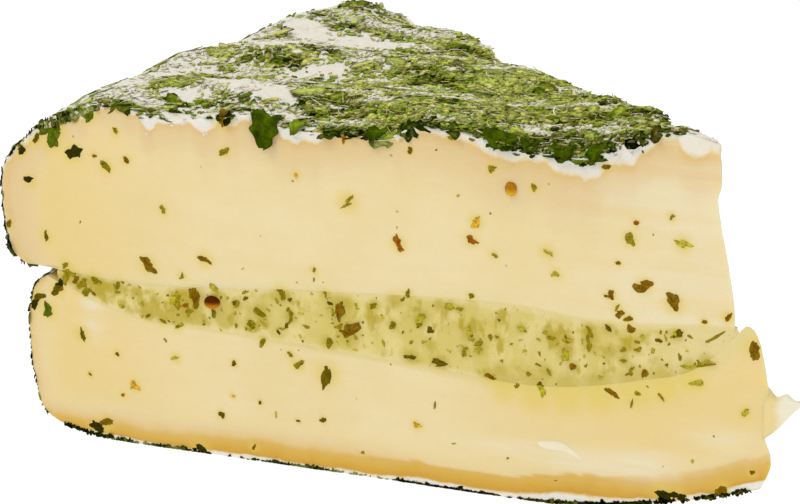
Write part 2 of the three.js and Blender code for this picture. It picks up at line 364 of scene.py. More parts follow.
def face_relief(points):
    """A cut face of soft paste: slow swells and faint drag marks of the knife along the cut"""
    drawn = points * np.array([1 / 16, 1 / 16, 1])
    return 0.16 * noise(points, 13.0, 3) + 0.05 * noise(drawn, 0.9, 4) + 0.03 * noise(points, 1.3, 5)


def bloom_relief(points):
    """The cottony rind: soft tufts on lumps"""
    return 0.3 * noise(points, 5.0, 6) + 0.16 * noise(points, 2.0, 7) + 0.08 * noise(points, 0.9, 8)


def upper_detail(points, u, v, w):
    """Cut faces with a ragged rind lip along their top and rind edges, and a cottony top and rind"""
    to_skin = np.minimum((1 - w) * UPPER_THICK, (1 - u) * FACE_LENGTH)
    lip = RIND_LIP * smoothstep(2.6, 0.9, to_skin) * (0.4 + noise(points, 1.6, 9))
    soft = -SOFT_EDGE * np.exp(-to_skin / SOFT_REACH)
    face = face_relief(points) * smoothstep(0.0, FACE_FADE, w * UPPER_THICK) + lip + soft
    from_cut = np.minimum(v, 1 - v) * RIND_LENGTH * np.maximum(u, 0.05)
    skin = bloom_relief(points) - SOFT_EDGE * np.exp(-from_cut / SOFT_REACH)
    return (1 - v) ** NEAR_SIDE * face, v**NEAR_SIDE * face, u**NEAR_SIDE * skin, w**NEAR_SIDE * skin


def lower_detail(points, u, v, w):
    """Cut faces with a soft foot, and a cottony rind that stays flat underneath"""
    to_skin = np.minimum(w * LOWER_THICK + 0.4, (1 - u) * FACE_LENGTH)
    soft = -SOFT_EDGE * np.exp(-to_skin / SOFT_REACH)
    face = face_relief(points) * smoothstep(0.0, FACE_FADE, (1 - w) * LOWER_THICK) + soft
    tufts = bloom_relief(points) * np.sin(math.pi * np.clip(w, 0, 1)) ** 0.5
    return (1 - v) ** NEAR_SIDE * face, v**NEAR_SIDE * face, u**NEAR_SIDE * tufts, np.zeros(u.shape)


def cream_detail(points, u, v, w):
    """Soft cream full of small curds, a little below the cut faces of the paste"""
    inside = np.sin(math.pi * np.clip(w, 0, 1)) ** 0.7
    curds = inside * (0.3 * noise(points, 2.4, 11) + 0.16 * noise(points, 1.2, 12)) - 0.015
    return (1 - v) ** NEAR_SIDE * curds, v**NEAR_SIDE * curds, u**NEAR_SIDE * curds, np.zeros(u.shape)


def upper_height(z, along, back, w):
    """The section's height, held to the split underneath, with the relief of the top laid on above"""
    split = underside(split_radius(along, back))
    return mix(z, split, (1 - w) ** 8) + w**3 * top_relief(along, back)


def lower_height(z, along, back, w):
    """The section's height, held to the dish on top"""
    return mix(z, dish(split_radius(along, back)), w**8)


def cream_under(r):
    """The dish, sunk by the overlap"""
    return dish(r) - CREAM_OVERLAP


def cream_top(r):
    """The underside of the upper half, raised by the overlap"""
    return underside(r) + CREAM_OVERLAP


def cream_height(z, along, back, w):
    """Between the two halves, whatever the section's own height"""
    r = split_radius(along, back)
    return mix(cream_under(r), cream_top(r), w)


upper_surface = wedge(
    run(UNDERSIDE[0][0], UNDERSIDE[-1][0], underside),
    run(UPPER_TIP[-1][0], TOP_RIM, top_line),
    outline(UPPER_TIP),
    outline([*UPPER_RIND, (TOP_RIM, float(top_line(TOP_RIM)))]),
    UPPER_ANGLE, upper_height, upper_detail, FAR_RIM,
)
cream_surface = wedge(
    run(CREAM_TIP, CREAM_RIM, cream_under),
    run(CREAM_TIP, CREAM_RIM, cream_top),
    upright(CREAM_TIP, cream_under(CREAM_TIP), cream_top(CREAM_TIP)),
    upright(CREAM_RIM, cream_under(CREAM_RIM), cream_top(CREAM_RIM)),
    FILLING_ANGLE, cream_height, cream_detail,
)
lower_surface = wedge(
    run(LOWER_TIP_FOOT, BASE_RIM, base_line),
    run(DISH[0][0], DISH[-1][0], dish),
    outline([(LOWER_TIP_FOOT, float(base_line(LOWER_TIP_FOOT))), *LOWER_TIP]),
    outline([(BASE_RIM, BASE_RIM_LIFT), *LOWER_RIND]),
    LOWER_ANGLE, lower_height, lower_detail,
)


# Meshes


def box_skin(steps):
    """The lattice points on the skin of a box, each once, and the quads that join them, facing out"""
    steps = np.array(steps)
    stride = np.array([(steps[1] + 1) * (steps[2] + 1), steps[2] + 1, 1])
    quads = []
    for axis, end in itertools.product(range(3), (0, 1)):
        first, second = (axis + 1) % 3, (axis + 2) % 3
        i, j = np.meshgrid(np.arange(steps[first]), np.arange(steps[second]), indexing="ij")
        corner = (end * steps[axis] * stride[axis] + i * stride[first] + j * stride[second]).ravel()
        a, b = stride[first], stride[second]
        ring = [corner, corner + a, corner + a + b, corner + b]
        quads.append(np.stack(ring if end else ring[::-1], axis=1))
    ids, faces = np.unique(np.concatenate(quads), return_inverse=True)
    lattice = np.stack([ids // stride[0], ids // stride[1] % (steps[1] + 1), ids % (steps[2] + 1)], axis=1)
    return lattice / steps, faces.reshape(-1, 4)


def crowd(t, strength):
    """Even steps crowded towards both ends, so that edges get a finer mesh"""
    return t - strength * np.sin(2 * math.pi * t) / (2 * math.pi)


def put_mesh(name, points, faces, material, values=None, sharp_angle=None):
    """A mesh object at the origin, with one number or colour for each point under each name in values"""
    mesh = bpy.data.meshes.new(name)
    mesh.vertices.add(len(points))
    mesh.vertices.foreach_set("co", (np.asarray(points) * MM).ravel())
    mesh.loops.add(faces.size)
    mesh.loops.foreach_set("vertex_index", faces.ravel())
    mesh.polygons.add(len(faces))
    mesh.polygons.foreach_set("loop_start", np.arange(0, faces.size, faces.shape[1]))
    mesh.polygons.foreach_set("use_smooth", np.ones(len(faces), bool))
    mesh.update(calc_edges=True)
    for label, data in (values or {}).items():
        if np.ndim(data) == 1:
            mesh.attributes.new(label, "FLOAT", "POINT").data.foreach_set("value", np.asarray(data))
        else:
            colours = mesh.attributes.new(label, "FLOAT_COLOR", "POINT")
            colours.data.foreach_set("color", np.asarray(data).ravel())
    if sharp_angle is not None:
        mesh.set_sharp_from_angle(angle=math.radians(sharp_angle))
    mesh.materials.append(material)
    thing = bpy.data.objects.new(name, mesh)
    bpy.context.collection.objects.link(thing)
    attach(thing, "root")
    return thing


def unit(vectors):
    """Vectors divided by their lengths"""
    return vectors / np.linalg.norm(vectors, axis=-1, keepdims=True)


def skin_normals(surface, u, v, w, free, outward):
    """Normals from two short steps along the free parameters, turned to the outward side"""
    start = surface(u, v, w)
    step = 0.004
    named = list(zip("uvw", (u, v, w)))
    moved = [surface(*(value + step * (name == part) for name, value in named)) for part in free]
    normals = unit(np.cross(moved[0] - start, moved[1] - start))
    side = np.sign(np.sum(normals * outward, axis=-1, keepdims=True))
    return start, normals * side


# Herb cover

UP = np.array([0.0, 0.0, 1.0])
TOWARDS_RIND = np.array([-0.92, 0.38, 0.0])

# Bare white patches and green clumps of the top: along, back, half length, half depth, strength
COVER_PATCHES = [
    (82, 51, 3.5, 4, -0.8), (76.5, 47.5, 4.5, 2.5, -0.7), (68.5, 50.5, 5, 3, -0.55), (69, 30, 4, 2, -0.6),
    (57.5, 36, 4, 3, -0.6), (76.5, 15, 4, 2, -0.6), (83.5, 9.8, 3.5, 2, -0.6), (73, 26.5, 2.5, 2, -0.4),
    (69, 10, 4, 2.5, -0.4), (63.5, 4.6, 3, 2, -0.4), (89, 45, 3, 4, -0.4), (94, 12, 3, 4, -0.3),
    (93, 23, 3, 4, -0.3), (46, 17, 3, 2, -0.3), (44, 23, 4, 1.5, -0.4), (79, 40, 4, 2.5, -0.4),
    (85.4, 48, 2.6, 3, 0.8), (77.2, 58, 4, 3.5, 0.9), (77, 54, 2.5, 1.5, 0.4), (69.6, 36.2, 1.5, 2, 0.7),
    (67.8, 54.4, 2.5, 2, 0.5), (56.3, 51, 4, 3, 0.5), (62, 60, 3, 3, 0.4), (78, 32.6, 5, 3, 0.5),
    (90, 33, 3.5, 3, 0.6), (87.6, 25, 2, 3, 0.6), (86, 14, 2, 2, 0.7), (90, 11.7, 2, 2, 0.5),
    (94.7, 8.6, 2.5, 3, 0.6), (88, 3.8, 3, 2.5, 0.9), (79.5, 8.2, 3.5, 2, 0.5), (73, 4.4, 3, 2.5, 0.7),
    (62, 18, 4, 4, 0.4), (58.6, 8, 6, 4, 0.5),
]
SIDE_COVER = 0.62
WITH_WRINKLES = np.array([0.4, 1.0, 1.0])   # stretches a pattern along the wrinkles of the top


def top_cover(points):
    """Share of the top that herbs hide: full near the tip but bare at it, thin and patchy by the rind"""
    along = TIP_X - points[..., 0]
    back = points[..., 1] - NEAR_Y
    share = 1.0 - 0.66 * smoothstep(46, 76, along)
    for centre, depth, length, width, strength in COVER_PATCHES:
        share = share + strength * bell(along, centre, length) * bell(back, depth, width)
    streaks = noise(points * WITH_WRINKLES, 2.6, 22)
    share = share + 0.12 * noise(points, 7.0, 21) + 0.36 * streaks * smoothstep(20, 70, along) - 0.05
    bare_tip = smoothstep(3.0, 8.0, along + 0.4 * back)
    return np.clip(share, 0.0, 1.0) * bare_tip


def side_cover(points):
    """Share of the round rind that herbs hide: clumps with bare bloom between them"""
    return np.clip(SIDE_COVER + 0.5 * noise(points, 8.0, 23) + 0.3 * noise(points, 3.5, 24), 0.0, 1.0)


# Materials


def add(tree, kind, inputs=None, **settings):
    """A node with its settings. An input given as a socket is linked, and any other is set as a value"""
    node = tree.nodes.new(kind)
    for name, value in settings.items():
        setattr(node, name, value)
    for name, value in (inputs or {}).items():
        if isinstance(value, bpy.types.NodeSocket):
            tree.links.new(value, node.inputs[name])
        else:
            node.inputs[name].default_value = value
    return node


def new_material(name, **constants):
    """A material with an empty tree but for its shader, whose sockets take the constants"""
    material = bpy.data.materials.new(name)
    material.use_nodes = True
    tree = material.node_tree
    shader = tree.nodes["Principled BSDF"]
    for socket, value in constants.items():
        shader.inputs[socket.replace("_", " ")].default_value = value
    return material, tree, shader


def object_place(tree):
    """The place on the object, in metres"""
    return add(tree, "ShaderNodeTexCoord").outputs["Object"]


def stretched(tree, vector, scale):
    """A place multiplied by a scale for each axis"""
    return add(tree, "ShaderNodeMapping", {"Vector": vector, "Scale": scale}).outputs["Vector"]


def cloud(tree, vector, size, detail=3.0, roughness=0.55):
    """Noise from 0 to 1 whose blotches are about the given size in millimetres"""
    inputs = {"Vector": vector, "Scale": 1.0 / (size * MM), "Detail": detail, "Roughness": roughness}
    return add(tree, "ShaderNodeTexNoise", inputs).outputs["Fac"]


def cloud_colour(tree, vector, size):
    """Noise of three channels, to bend other patterns with"""
    inputs = {"Vector": vector, "Scale": 1.0 / (size * MM), "Detail": 2.0}
    return add(tree, "ShaderNodeTexNoise", inputs).outputs["Color"]


def calculate(tree, operation, a, b=0.0, c=0.0):
    """The outcome of one step of arithmetic"""
    return add(tree, "ShaderNodeMath", {0: a, 1: b, 2: c}, operation=operation).outputs[0]


def span(tree, value, low, high, to_low=0.0, to_high=1.0):
    """A value carried smoothly from one range to another, and held at its ends"""
    inputs = {0: value, 1: low, 2: high, 3: to_low, 4: to_high}
    return add(tree, "ShaderNodeMapRange", inputs, interpolation_type="SMOOTHSTEP").outputs[0]


def blend(tree, share, a, b):
    """Colour a, going over to colour b as the share goes from 0 to 1"""
    inputs = {0: share, 6: a, 7: b}
    return add(tree, "ShaderNodeMix", inputs, data_type="RGBA").outputs[2]


def ramp(tree, value, stops, end):
    """Colours by a value from 0 to end, through stops of a value and a daylight colour"""
    node = add(tree, "ShaderNodeValToRGB", {"Fac": calculate(tree, "DIVIDE", value, end)})
    elements = node.color_ramp.elements
    while len(elements) < len(stops):
        elements.new(0.5)
    for element, (at, colour) in zip(elements, stops):
        element.position = at / end
        element.color = linear(colour)
    return node.outputs["Color"]


def read(tree, name, output="Fac"):
    """What the mesh holds under a name"""
    return add(tree, "ShaderNodeAttribute", attribute_name=name).outputs[output]


def bump(tree, shader, height, distance):
    """Fine relief, in millimetres, on the shader's normal"""
    inputs = {"Height": height, "Strength": 1.0, "Distance": distance * MM}
    tree.links.new(add(tree, "ShaderNodeBump", inputs).outputs["Normal"], shader.inputs["Normal"])


def herb_coat(tree, here, cover):
    """Crushed herbs pressed into bloom: cells of chance greens, each kept or left white by the herb cover,
    with white threads of bloom between them"""
    bent = cloud_colour(tree, here, 1.6)
    warped = add(tree, "ShaderNodeMix", {0: 0.0012, 4: here, 5: bent}, data_type="VECTOR").outputs[1]
    inputs = {"Vector": warped, "Scale": 1.0 / (1.3 * MM)}
    cells = add(tree, "ShaderNodeTexVoronoi", inputs).outputs["Color"]
    chance = add(tree, "ShaderNodeSeparateColor", {0: cells})
    edge = add(tree, "ShaderNodeTexVoronoi", inputs, feature="DISTANCE_TO_EDGE").outputs["Distance"]
    stops = [
        (0.0, LEAF_BLACK), (0.16, LEAF_DARK), (0.38, LEAF), (0.62, LEAF_BRIGHT), (0.8, OLIVE), (1.0, STRAW),
    ]
    leaf = ramp(tree, chance.outputs[0], stops, 1.0)
    bloom = blend(tree, cloud(tree, here, 1.6, 4.0), linear(BLOOM_SHADE), linear(BLOOM))
    wanted = calculate(tree, "ADD", cover, cloud(tree, here, 2.0))
    kept = calculate(tree, "SUBTRACT", wanted, chance.outputs[1])
    shown = span(tree, kept, 0.3, 0.55)
    thick = span(tree, cloud(tree, here, 0.6), 0.7, 0.45)
    threads = calculate(tree, "MULTIPLY", span(tree, edge, 0.03, 0.12), thick)
    return blend(tree, calculate(tree, "MULTIPLY", shown, threads), bloom, leaf)


def paste_material(name, stops, depth, ragged):
    """Soft cheese under its rind. The colour goes by the depth under the bloom, ragged by noise: white
    bloom, a ripened band, then cream paste with faint swirls, riper in places. Outside, crushed herbs lie
    in the bloom. Where the paste meets the herb cream it takes up a little of its green, and round a herb
    it has a faint yellow stain."""
    material, tree, shader = new_material(
        name, Subsurface_Radius=(1.0, 0.6, 0.3), Subsurface_Scale=0.0022, IOR=1.42
    )
    here = object_place(tree)
    wobble = calculate(tree, "SUBTRACT", cloud(tree, here, 1.6, 4.0, 0.65), 0.5)
    to_bloom = read(tree, "bloom_depth")
    by_depth = ramp(tree, calculate(tree, "MULTIPLY_ADD", wobble, ragged, to_bloom), stops, depth)
    drawn = stretched(tree, here, (0.12, 0.12, 1.0))
    broad = cloud(tree, here, 12.0, 3.0)
    swirl = calculate(tree, "MULTIPLY_ADD", cloud(tree, drawn, 2.5, 3.0), 0.35, broad)
    deep = span(tree, to_bloom, 4.0, 9.0)
    lighter = calculate(tree, "MULTIPLY", span(tree, swirl, 0.45, 0.95, 0.0, 0.75), deep)
    paste = blend(tree, lighter, by_depth, linear(CREAM_LIGHT))
    ripe = calculate(tree, "MULTIPLY", read(tree, "ripe"), deep)
    paste = blend(tree, ripe, paste, linear(CREAM_RIPE))
    # Paler in streaks: smears of paste, and painted highlight towards the upper tip and by the lower rind
    # end
    pale = calculate(tree, "MULTIPLY", read(tree, "pale"), span(tree, cloud(tree, drawn, 3.0), 0.3, 0.6))
    paste = blend(tree, pale, paste, linear(SMEAR_AND_HIGHLIGHT))
    green = calculate(tree, "MULTIPLY_ADD", wobble, 0.5, read(tree, "green"))
    paste = blend(tree, span(tree, green, 0.05, 0.95), paste, linear(CREAM_EDGE))
    paste = blend(tree, span(tree, read(tree, "stain"), 0.05, 1.0, 0.0, 0.65), paste, linear(STAIN))
    outside = span(tree, read(tree, "skin_depth"), 0.12, 0.0)
    colour = blend(tree, outside, paste, herb_coat(tree, here, read(tree, "herb_cover")))
    tree.links.new(colour, shader.inputs["Base Color"])
    clear = span(tree, read(tree, "green"), 0.0, 0.35, 0.28, 0.0)
    tree.links.new(clear, shader.inputs["Subsurface Weight"])
    moist = span(tree, cloud(tree, here, 6.0), 0.35, 0.65, 0.34, 0.46)
    dry = span(tree, to_bloom, 0.6, 0.0)
    rough = add(tree, "ShaderNodeMix", {0: dry, 2: moist, 3: 0.85}, data_type="FLOAT").outputs[0]
    tree.links.new(rough, shader.inputs["Roughness"])
    fluff = calculate(tree, "MULTIPLY", dry, cloud(tree, here, 0.35))
    bump(tree, shader, calculate(tree, "ADD", cloud(tree, here, 0.7, 4.0), fluff), 0.12)
    return material


# Colours of the cut face by millimetres under the bloom
UPPER_STOPS = [
    (0.0, BLOOM), (0.35, (240, 226, 190)), (0.9, RIPE_LINE), (2.4, CREAM_WARM), (6.0, (234, 210, 156)),
    (10.0, CREAM), (14.0, CREAM),
]
LOWER_STOPS = [
    (0.0, BLOOM), (0.25, (234, 214, 170)), (0.5, TAN_DEEP), (1.6, TAN), (2.8, (224, 184, 90)),
    (3.6, (231, 201, 136)), (4.6, (235, 211, 154)), (6.0, CREAM), (10.0, CREAM),
]


def cream_material():
    """Herb cream: moist and half clear, pale in soft streaks, olive in soft blots and round each herb"""
    material, tree, shader = new_material(
        "herb cream", Subsurface_Radius=(1.0, 0.8, 0.25), Subsurface_Scale=0.002, IOR=1.42
    )
    here = object_place(tree)
    leaning = stretched(tree, here, (1.0, 1.0, 0.55))
    pale = span(tree, cloud(tree, leaning, 3.4, 3.0), 0.42, 0.66, 0.0, 0.85)
    blots = span(tree, cloud(tree, leaning, 2.2, 2.0), 0.53, 0.68, 0.0, 0.85)
    broad = span(tree, cloud(tree, here, 9.0, 1.0), 0.35, 0.65, 0.0, 0.5)
    soft = blend(tree, broad, linear(CREAM_GREEN), linear(CREAM_GREEN_PALE))
    soft = blend(tree, pale, soft, linear(CREAM_GREEN_PALE))
    soft = blend(tree, blots, soft, linear(CREAM_GREEN_DEEP))
    olive = calculate(tree, "MULTIPLY", read(tree, "olive"), span(tree, pale, 1.0, 0.2))
    soft = blend(tree, olive, soft, linear(CREAM_GREEN_DEEP))
    uneven = calculate(tree, "SUBTRACT", pale, 0.5)
    paler = calculate(tree, "MULTIPLY_ADD", uneven, 0.5, read(tree, "into_paste"))
    soft = blend(tree, span(tree, paler, 0.1, 0.9), soft, linear(CREAM_EDGE))
    stain = span(tree, read(tree, "stain"), 0.1, 1.0, 0.0, 0.7)
    soft = blend(tree, stain, soft, linear(CREAM_GREEN_DEEP))
    flecks = span(tree, cloud(tree, here, 0.9, 2.0), 0.66, 0.74, 0.0, 0.55)
    tree.links.new(blend(tree, flecks, soft, linear(CREAM_FLECK)), shader.inputs["Base Color"])
    clear = span(tree, read(tree, "into_paste"), 0.0, 0.5, 0.3, 0.0)
    tree.links.new(clear, shader.inputs["Subsurface Weight"])
    tree.links.new(span(tree, pale, 0.0, 1.0, 0.24, 0.4), shader.inputs["Roughness"])
    bump(tree, shader, cloud(tree, here, 1.1, 3.0), 0.2)
    return material


def herb_material(name, roughness, mottling, bloom):
    """Dried leaf in its flake's own colour, mottled finely. Bloom grows over parts of it: pale green where
    thin, white where thick"""
    material, tree, shader = new_material(name, Roughness=roughness, Specular_IOR_Level=0.0)
    here = object_place(tree)
    own = read(tree, "tint", "Color")
    mottle = span(tree, cloud(tree, here, 0.6, 3.0), 0.38, 0.62, 0.0, mottling)
    inputs = {0: mottle, 6: own, 7: (0.5, 0.5, 0.35, 1.0)}
    mottled = add(tree, "ShaderNodeMix", inputs, data_type="RGBA", blend_type="MULTIPLY").outputs[2]
    grown = calculate(tree, "ADD", cloud(tree, here, 1.1, 4.0), read(tree, "bloom"))
    thin = blend(tree, span(tree, grown, 0.55, 0.9, 0.0, bloom), mottled, linear(LEAF_PALE))
    thick = span(tree, grown, 0.72, 1.0, 0.0, bloom)
    tree.links.new(blend(tree, thick, thin, linear(BLOOM)), shader.inputs["Base Color"])
    bump(tree, shader, cloud(tree, here, 0.5, 3.0), 0.08)
    return material


def bloom_material():
    """Loose white rind: cottony, matt, slightly cream in its hollows"""
    material, tree, shader = new_material("torn white rind", Roughness=0.85)
    here = object_place(tree)
    tufts = cloud(tree, here, 0.9, 4.0)
    colour = blend(tree, span(tree, tufts, 0.3, 0.6), linear(BLOOM_SHADE), linear(BLOOM))
    tree.links.new(colour, shader.inputs["Base Color"])
    bump(tree, shader, cloud(tree, here, 0.4, 4.0), 0.15)
    return material


def pale_paste_material():
    """Loose paste: moist, like the cut at its root and paler where it is thin"""
    material, tree, shader = new_material("loose paste", Roughness=0.4, IOR=1.42)
    patches = calculate(tree, "MULTIPLY_ADD", cloud(tree, object_place(tree), 2.0), 0.5, read(tree, "thin"))
    colour = blend(tree, span(tree, patches, 0.3, 1.1), linear(LOOSE_ROOT), linear(LOOSE_PASTE))
    tree.links.new(colour, shader.inputs["Base Color"])
    return material


UPPER_PASTE = paste_material("upper paste", UPPER_STOPS, 14.0, 1.2)
LOWER_PASTE = paste_material("lower paste", LOWER_STOPS, 10.0, 0.7)
HERB_CREAM = cream_material()
LEAF_FINISH = herb_material("dried herb leaf", 0.62, 0.7, 0.85)
SPECK_FINISH = herb_material("herb in paste", 0.4, 0.35, 0.0)
WHITE_RIND = bloom_material()
PALE_PASTE = pale_paste_material()


# The two halves and the filling

UPPER_STEPS = (170, 96, 52)
CREAM_STEPS = (230, 56, 26)
LOWER_STEPS = (176, 84, 48)
EDGE_CROWDING = 0.6


def body_skin(surface, steps):
    """The points of a wedge's skin with its parameters, from a box lattice crowded towards the edges"""
    lattice, faces = box_skin(steps)
    across = crowd(lattice, EDGE_CROWDING)
    u, v, w = 1.0 - across[:, 0], across[:, 1], across[:, 2]
    return surface(u, v, w), faces, (u, v, w)


def distance_to(surface, points, u, v, w):
    """Distance from each point to the place on the surface with the given parameters"""
    return np.linalg.norm(surface(u, v, w) - points, axis=1)


# White bloom that shows on the cut under the top edge: distance from the tip, half length, depth
EDGE_BLOOM = [
    (3.0, 2.3, 1.5), (16.4, 8.2, 1.0), (12.6, 1.8, 1.7), (17.6, 2, 1.9), (31, 3.6, 1.0), (34, 11.5, 0.35),
    (46.3, 0.8, 0.9), (61.6, 3.4, 2.0), (72.2, 1.2, 2.2), (76.6, 2.2, 2.7), (80.5, 1.5, 0.9),
    (83, 1.8, 1.0), (85.8, 1.4, 2.6), (88.7, 1, 1.0), (97.5, 2.0, 2.8),
]
RIND_END_BLOOM = -0.35
SHOULDER_BLOOM = 1.8
BLOOM_UNDER_HERBS = 0.6
RIND_END_RIPENESS = 3.0
BAND_STEP = 1.6   # what the ripened band skips of its soft upper edge towards the tip


def square_bell(x, centre, width):
    """A bell with a flat top and steep sides, from the eighth power"""
    return np.exp(-(((x - centre) / width) ** 8))


def edge_bloom(reach):
    """Depth of the bloom on the cut at a distance from the tip: thin, with blocky patches"""
    line = np.stack([reach, np.zeros_like(reach), np.zeros_like(reach)], axis=-1)
    depth = 0.5 + 0.4 * noise(line, 2.6, 31) + 0.2 * noise(line, 1.1, 32)
    depth = mix(depth, RIND_END_BLOOM, smoothstep(92, 100, reach))
    for centre, half, patch in EDGE_BLOOM:
        patch_depth = BLOOM_UNDER_HERBS + patch * (1 + 0.4 * noise(line, 1.3, 33))
        depth = np.maximum(depth, patch_depth * square_bell(reach, centre, half))
    return depth


def base_bloom(points):
    """Depth of the bloom on the cut above the base: a thin line, with patches"""
    return 0.85 + 0.55 * noise(points * np.array([1, 1, 0.3]), 6.0, 34) + 0.25 * noise(points, 1.8, 35)


# Paste smears and a painted highlight, lower near cut: along, height, half length, half height, strength
PALE_SMEARS_AND_HIGHLIGHT = [
    (9, 8.5, 5, 2.5, 0.7), (19, 7.5, 6, 2.2, 0.6), (30, 8, 8, 1.8, 0.5), (-2, 14, 5, 2.0, 0.5),
    # the last is a painted highlight by the rind end, not a smear
    (96, 21, 2.0, 4.5, 0.7),
]


def cut_place(points):
    """Distance from the tip in plan, and the along and height of points on the near cut"""
    along = TIP_X - points[:, 0]
    return np.hypot(along, points[:, 1] - NEAR_Y), along, points[:, 2]


def upper_half():
    """The upper half, with its depths under the rind, herb cover and tints for its material"""
    points, faces, (u, v, w) = body_skin(upper_surface, UPPER_STEPS)
    to_top = distance_to(upper_surface, points, u, v, np.ones_like(w))
    to_rind = distance_to(upper_surface, points, np.ones_like(u), v, w)
    to_cream = distance_to(upper_surface, points, u, v, np.zeros_like(w))
    reach, _, height = cut_place(points)
    rind_bloom = RIND_END_BLOOM + SHOULDER_BLOOM * bell(height, 49.0, 4.0)
    values = {
        "skin_depth": np.minimum(to_top, to_rind),
        "bloom_depth": np.minimum(to_top - edge_bloom(reach), to_rind - rind_bloom),
        "herb_cover": np.where(w > 0.999, top_cover(points), side_cover(points)),
        "green": smoothstep(1.3, 0.0, to_cream) * smoothstep(104, 96, reach),
        "ripe": 0.9 * smoothstep(72, 106, reach),
        # paler in streaks towards the tip: partly a painted highlight
        "pale": 0.35 * smoothstep(26, 8, reach),
    }
    half = put_mesh("upper_paste", points, faces, UPPER_PASTE, values, sharp_angle=50)
    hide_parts("upper_half")
    return half, points, faces


def herb_cream():
    """The herb cream, paler where it meets the paste and by the tip, more olive towards the rind"""
    points, faces, (u, v, w) = body_skin(cream_surface, CREAM_STEPS)
    to_upper = distance_to(cream_surface, points, u, v, np.ones_like(w))
    to_lower = distance_to(cream_surface, points, u, v, np.zeros_like(w))
    reach, _, _ = cut_place(points)
    into_paste = smoothstep(1.7, 0.0, np.minimum(to_upper, to_lower))
    values = {
        "into_paste": np.maximum(into_paste, smoothstep(16, 1, reach)),
        "olive": 0.9 * smoothstep(55, 95, reach),
    }
    cream = put_mesh("herb_cream", points, faces, HERB_CREAM, values, sharp_angle=50)
    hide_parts("herb_filling")
    return cream, points, faces


def lower_half():
    """The lower half, with its ripened band stepped towards the tip and lighter at both ends"""
    points, faces, (u, v, w) = body_skin(lower_surface, LOWER_STEPS)
    to_base = distance_to(lower_surface, points, u, v, np.zeros_like(w))
    to_rind = distance_to(lower_surface, points, np.ones_like(u), v, w)
    to_cream = distance_to(lower_surface, points, u, v, np.ones_like(w))
    reach, along, height = cut_place(points)
    smears_and_highlight = sum(
        strength * bell(along, place_along, length) * bell(height, place_height, tall)
        for place_along, place_height, length, tall, strength in PALE_SMEARS_AND_HIGHLIGHT
    )
    tinted = mix(1.2, 3.6, smoothstep(50, 12, reach))
    ripened = mix(1.0, 0.72, smoothstep(35, 8, reach))
    over_base = to_base * ripened - base_bloom(points)
    over_base = over_base + BAND_STEP * smoothstep(2.9, 3.0, over_base) * smoothstep(58, 36, reach)
    lighter_ends = 0.7 * smoothstep(18, 4, reach) + 0.6 * smoothstep(60, 90, reach)
    over_base = over_base + lighter_ends * smoothstep(0.3, 0.9, over_base)
    values = {
        "skin_depth": np.minimum(to_base, to_rind),
        "bloom_depth": np.minimum(over_base, RIND_END_RIPENESS + 0.9 * to_rind),
        "herb_cover": side_cover(points),
        "green": smoothstep(0.0, 1.0, 1 - to_cream / tinted),
        "ripe": 0.75 * smoothstep(45, 8, reach) + 0.8 * smoothstep(70, 100, reach),
        "pale": np.clip(smears_and_highlight * (v < 0.5), 0, 1),
    }
    half = put_mesh("lower_paste", points, faces, LOWER_PASTE, values, sharp_angle=50)
    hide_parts("lower_half")
    return half, points, faces


BODIES = [upper_half(), herb_cream(), lower_half()]


# Flakes, stalks and crumbs

CHANCE_SEED = 7
rng = np.random.default_rng(CHANCE_SEED)

LEAF_STATIONS = np.array([-1.0, -0.5, 0.0, 0.5, 1.0])
LEAF_HALF_WIDTHS = np.array([0.45, 0.95, 1.0, 0.85, 0.35])
FLAKE_THICKNESS = 0.2
FLAKE_CURL = 0.1
FLAKE_TILT = 0.06
LEVEL_GUIDE = np.array([0.0, 0.5, 0.87])   # up and a little back, to find level directions by


def leaf_frames(normals, headings, tilt):
    """Axes of leaves on a surface: along the heading, across it and out, with a little chance tilt. A
    heading of 0 points right on the near cut and on the top, and turns anticlockwise seen from outside"""
    out = unit(normals + tilt * rng.normal(size=normals.shape))
    level = unit(np.cross(LEVEL_GUIDE, out))
    other = np.cross(out, level)
    c, s = np.cos(headings)[:, None], np.sin(headings)[:, None]
    return c * level + s * other, c * other - s * level, out


def leaf_faces():
    """Quads of one leaf: a grid of 5 stations by 3 columns above, and the same below with its own middle"""
    grid = np.arange(15).reshape(3, 5)
    below = grid.copy()
    below[1, 1:4] = [15, 16, 17]
    quads = []
    for column, station in itertools.product(range(2), range(4)):
        near, far = (column, station), (column + 1, station + 1)
        corners = (near, (column, station + 1), far, (column + 1, station))
        quads.append([grid[at] for at in corners])
        quads.append([below[at] for at in corners[::-1]])
    return np.array(quads)


LEAF_FACES = leaf_faces()


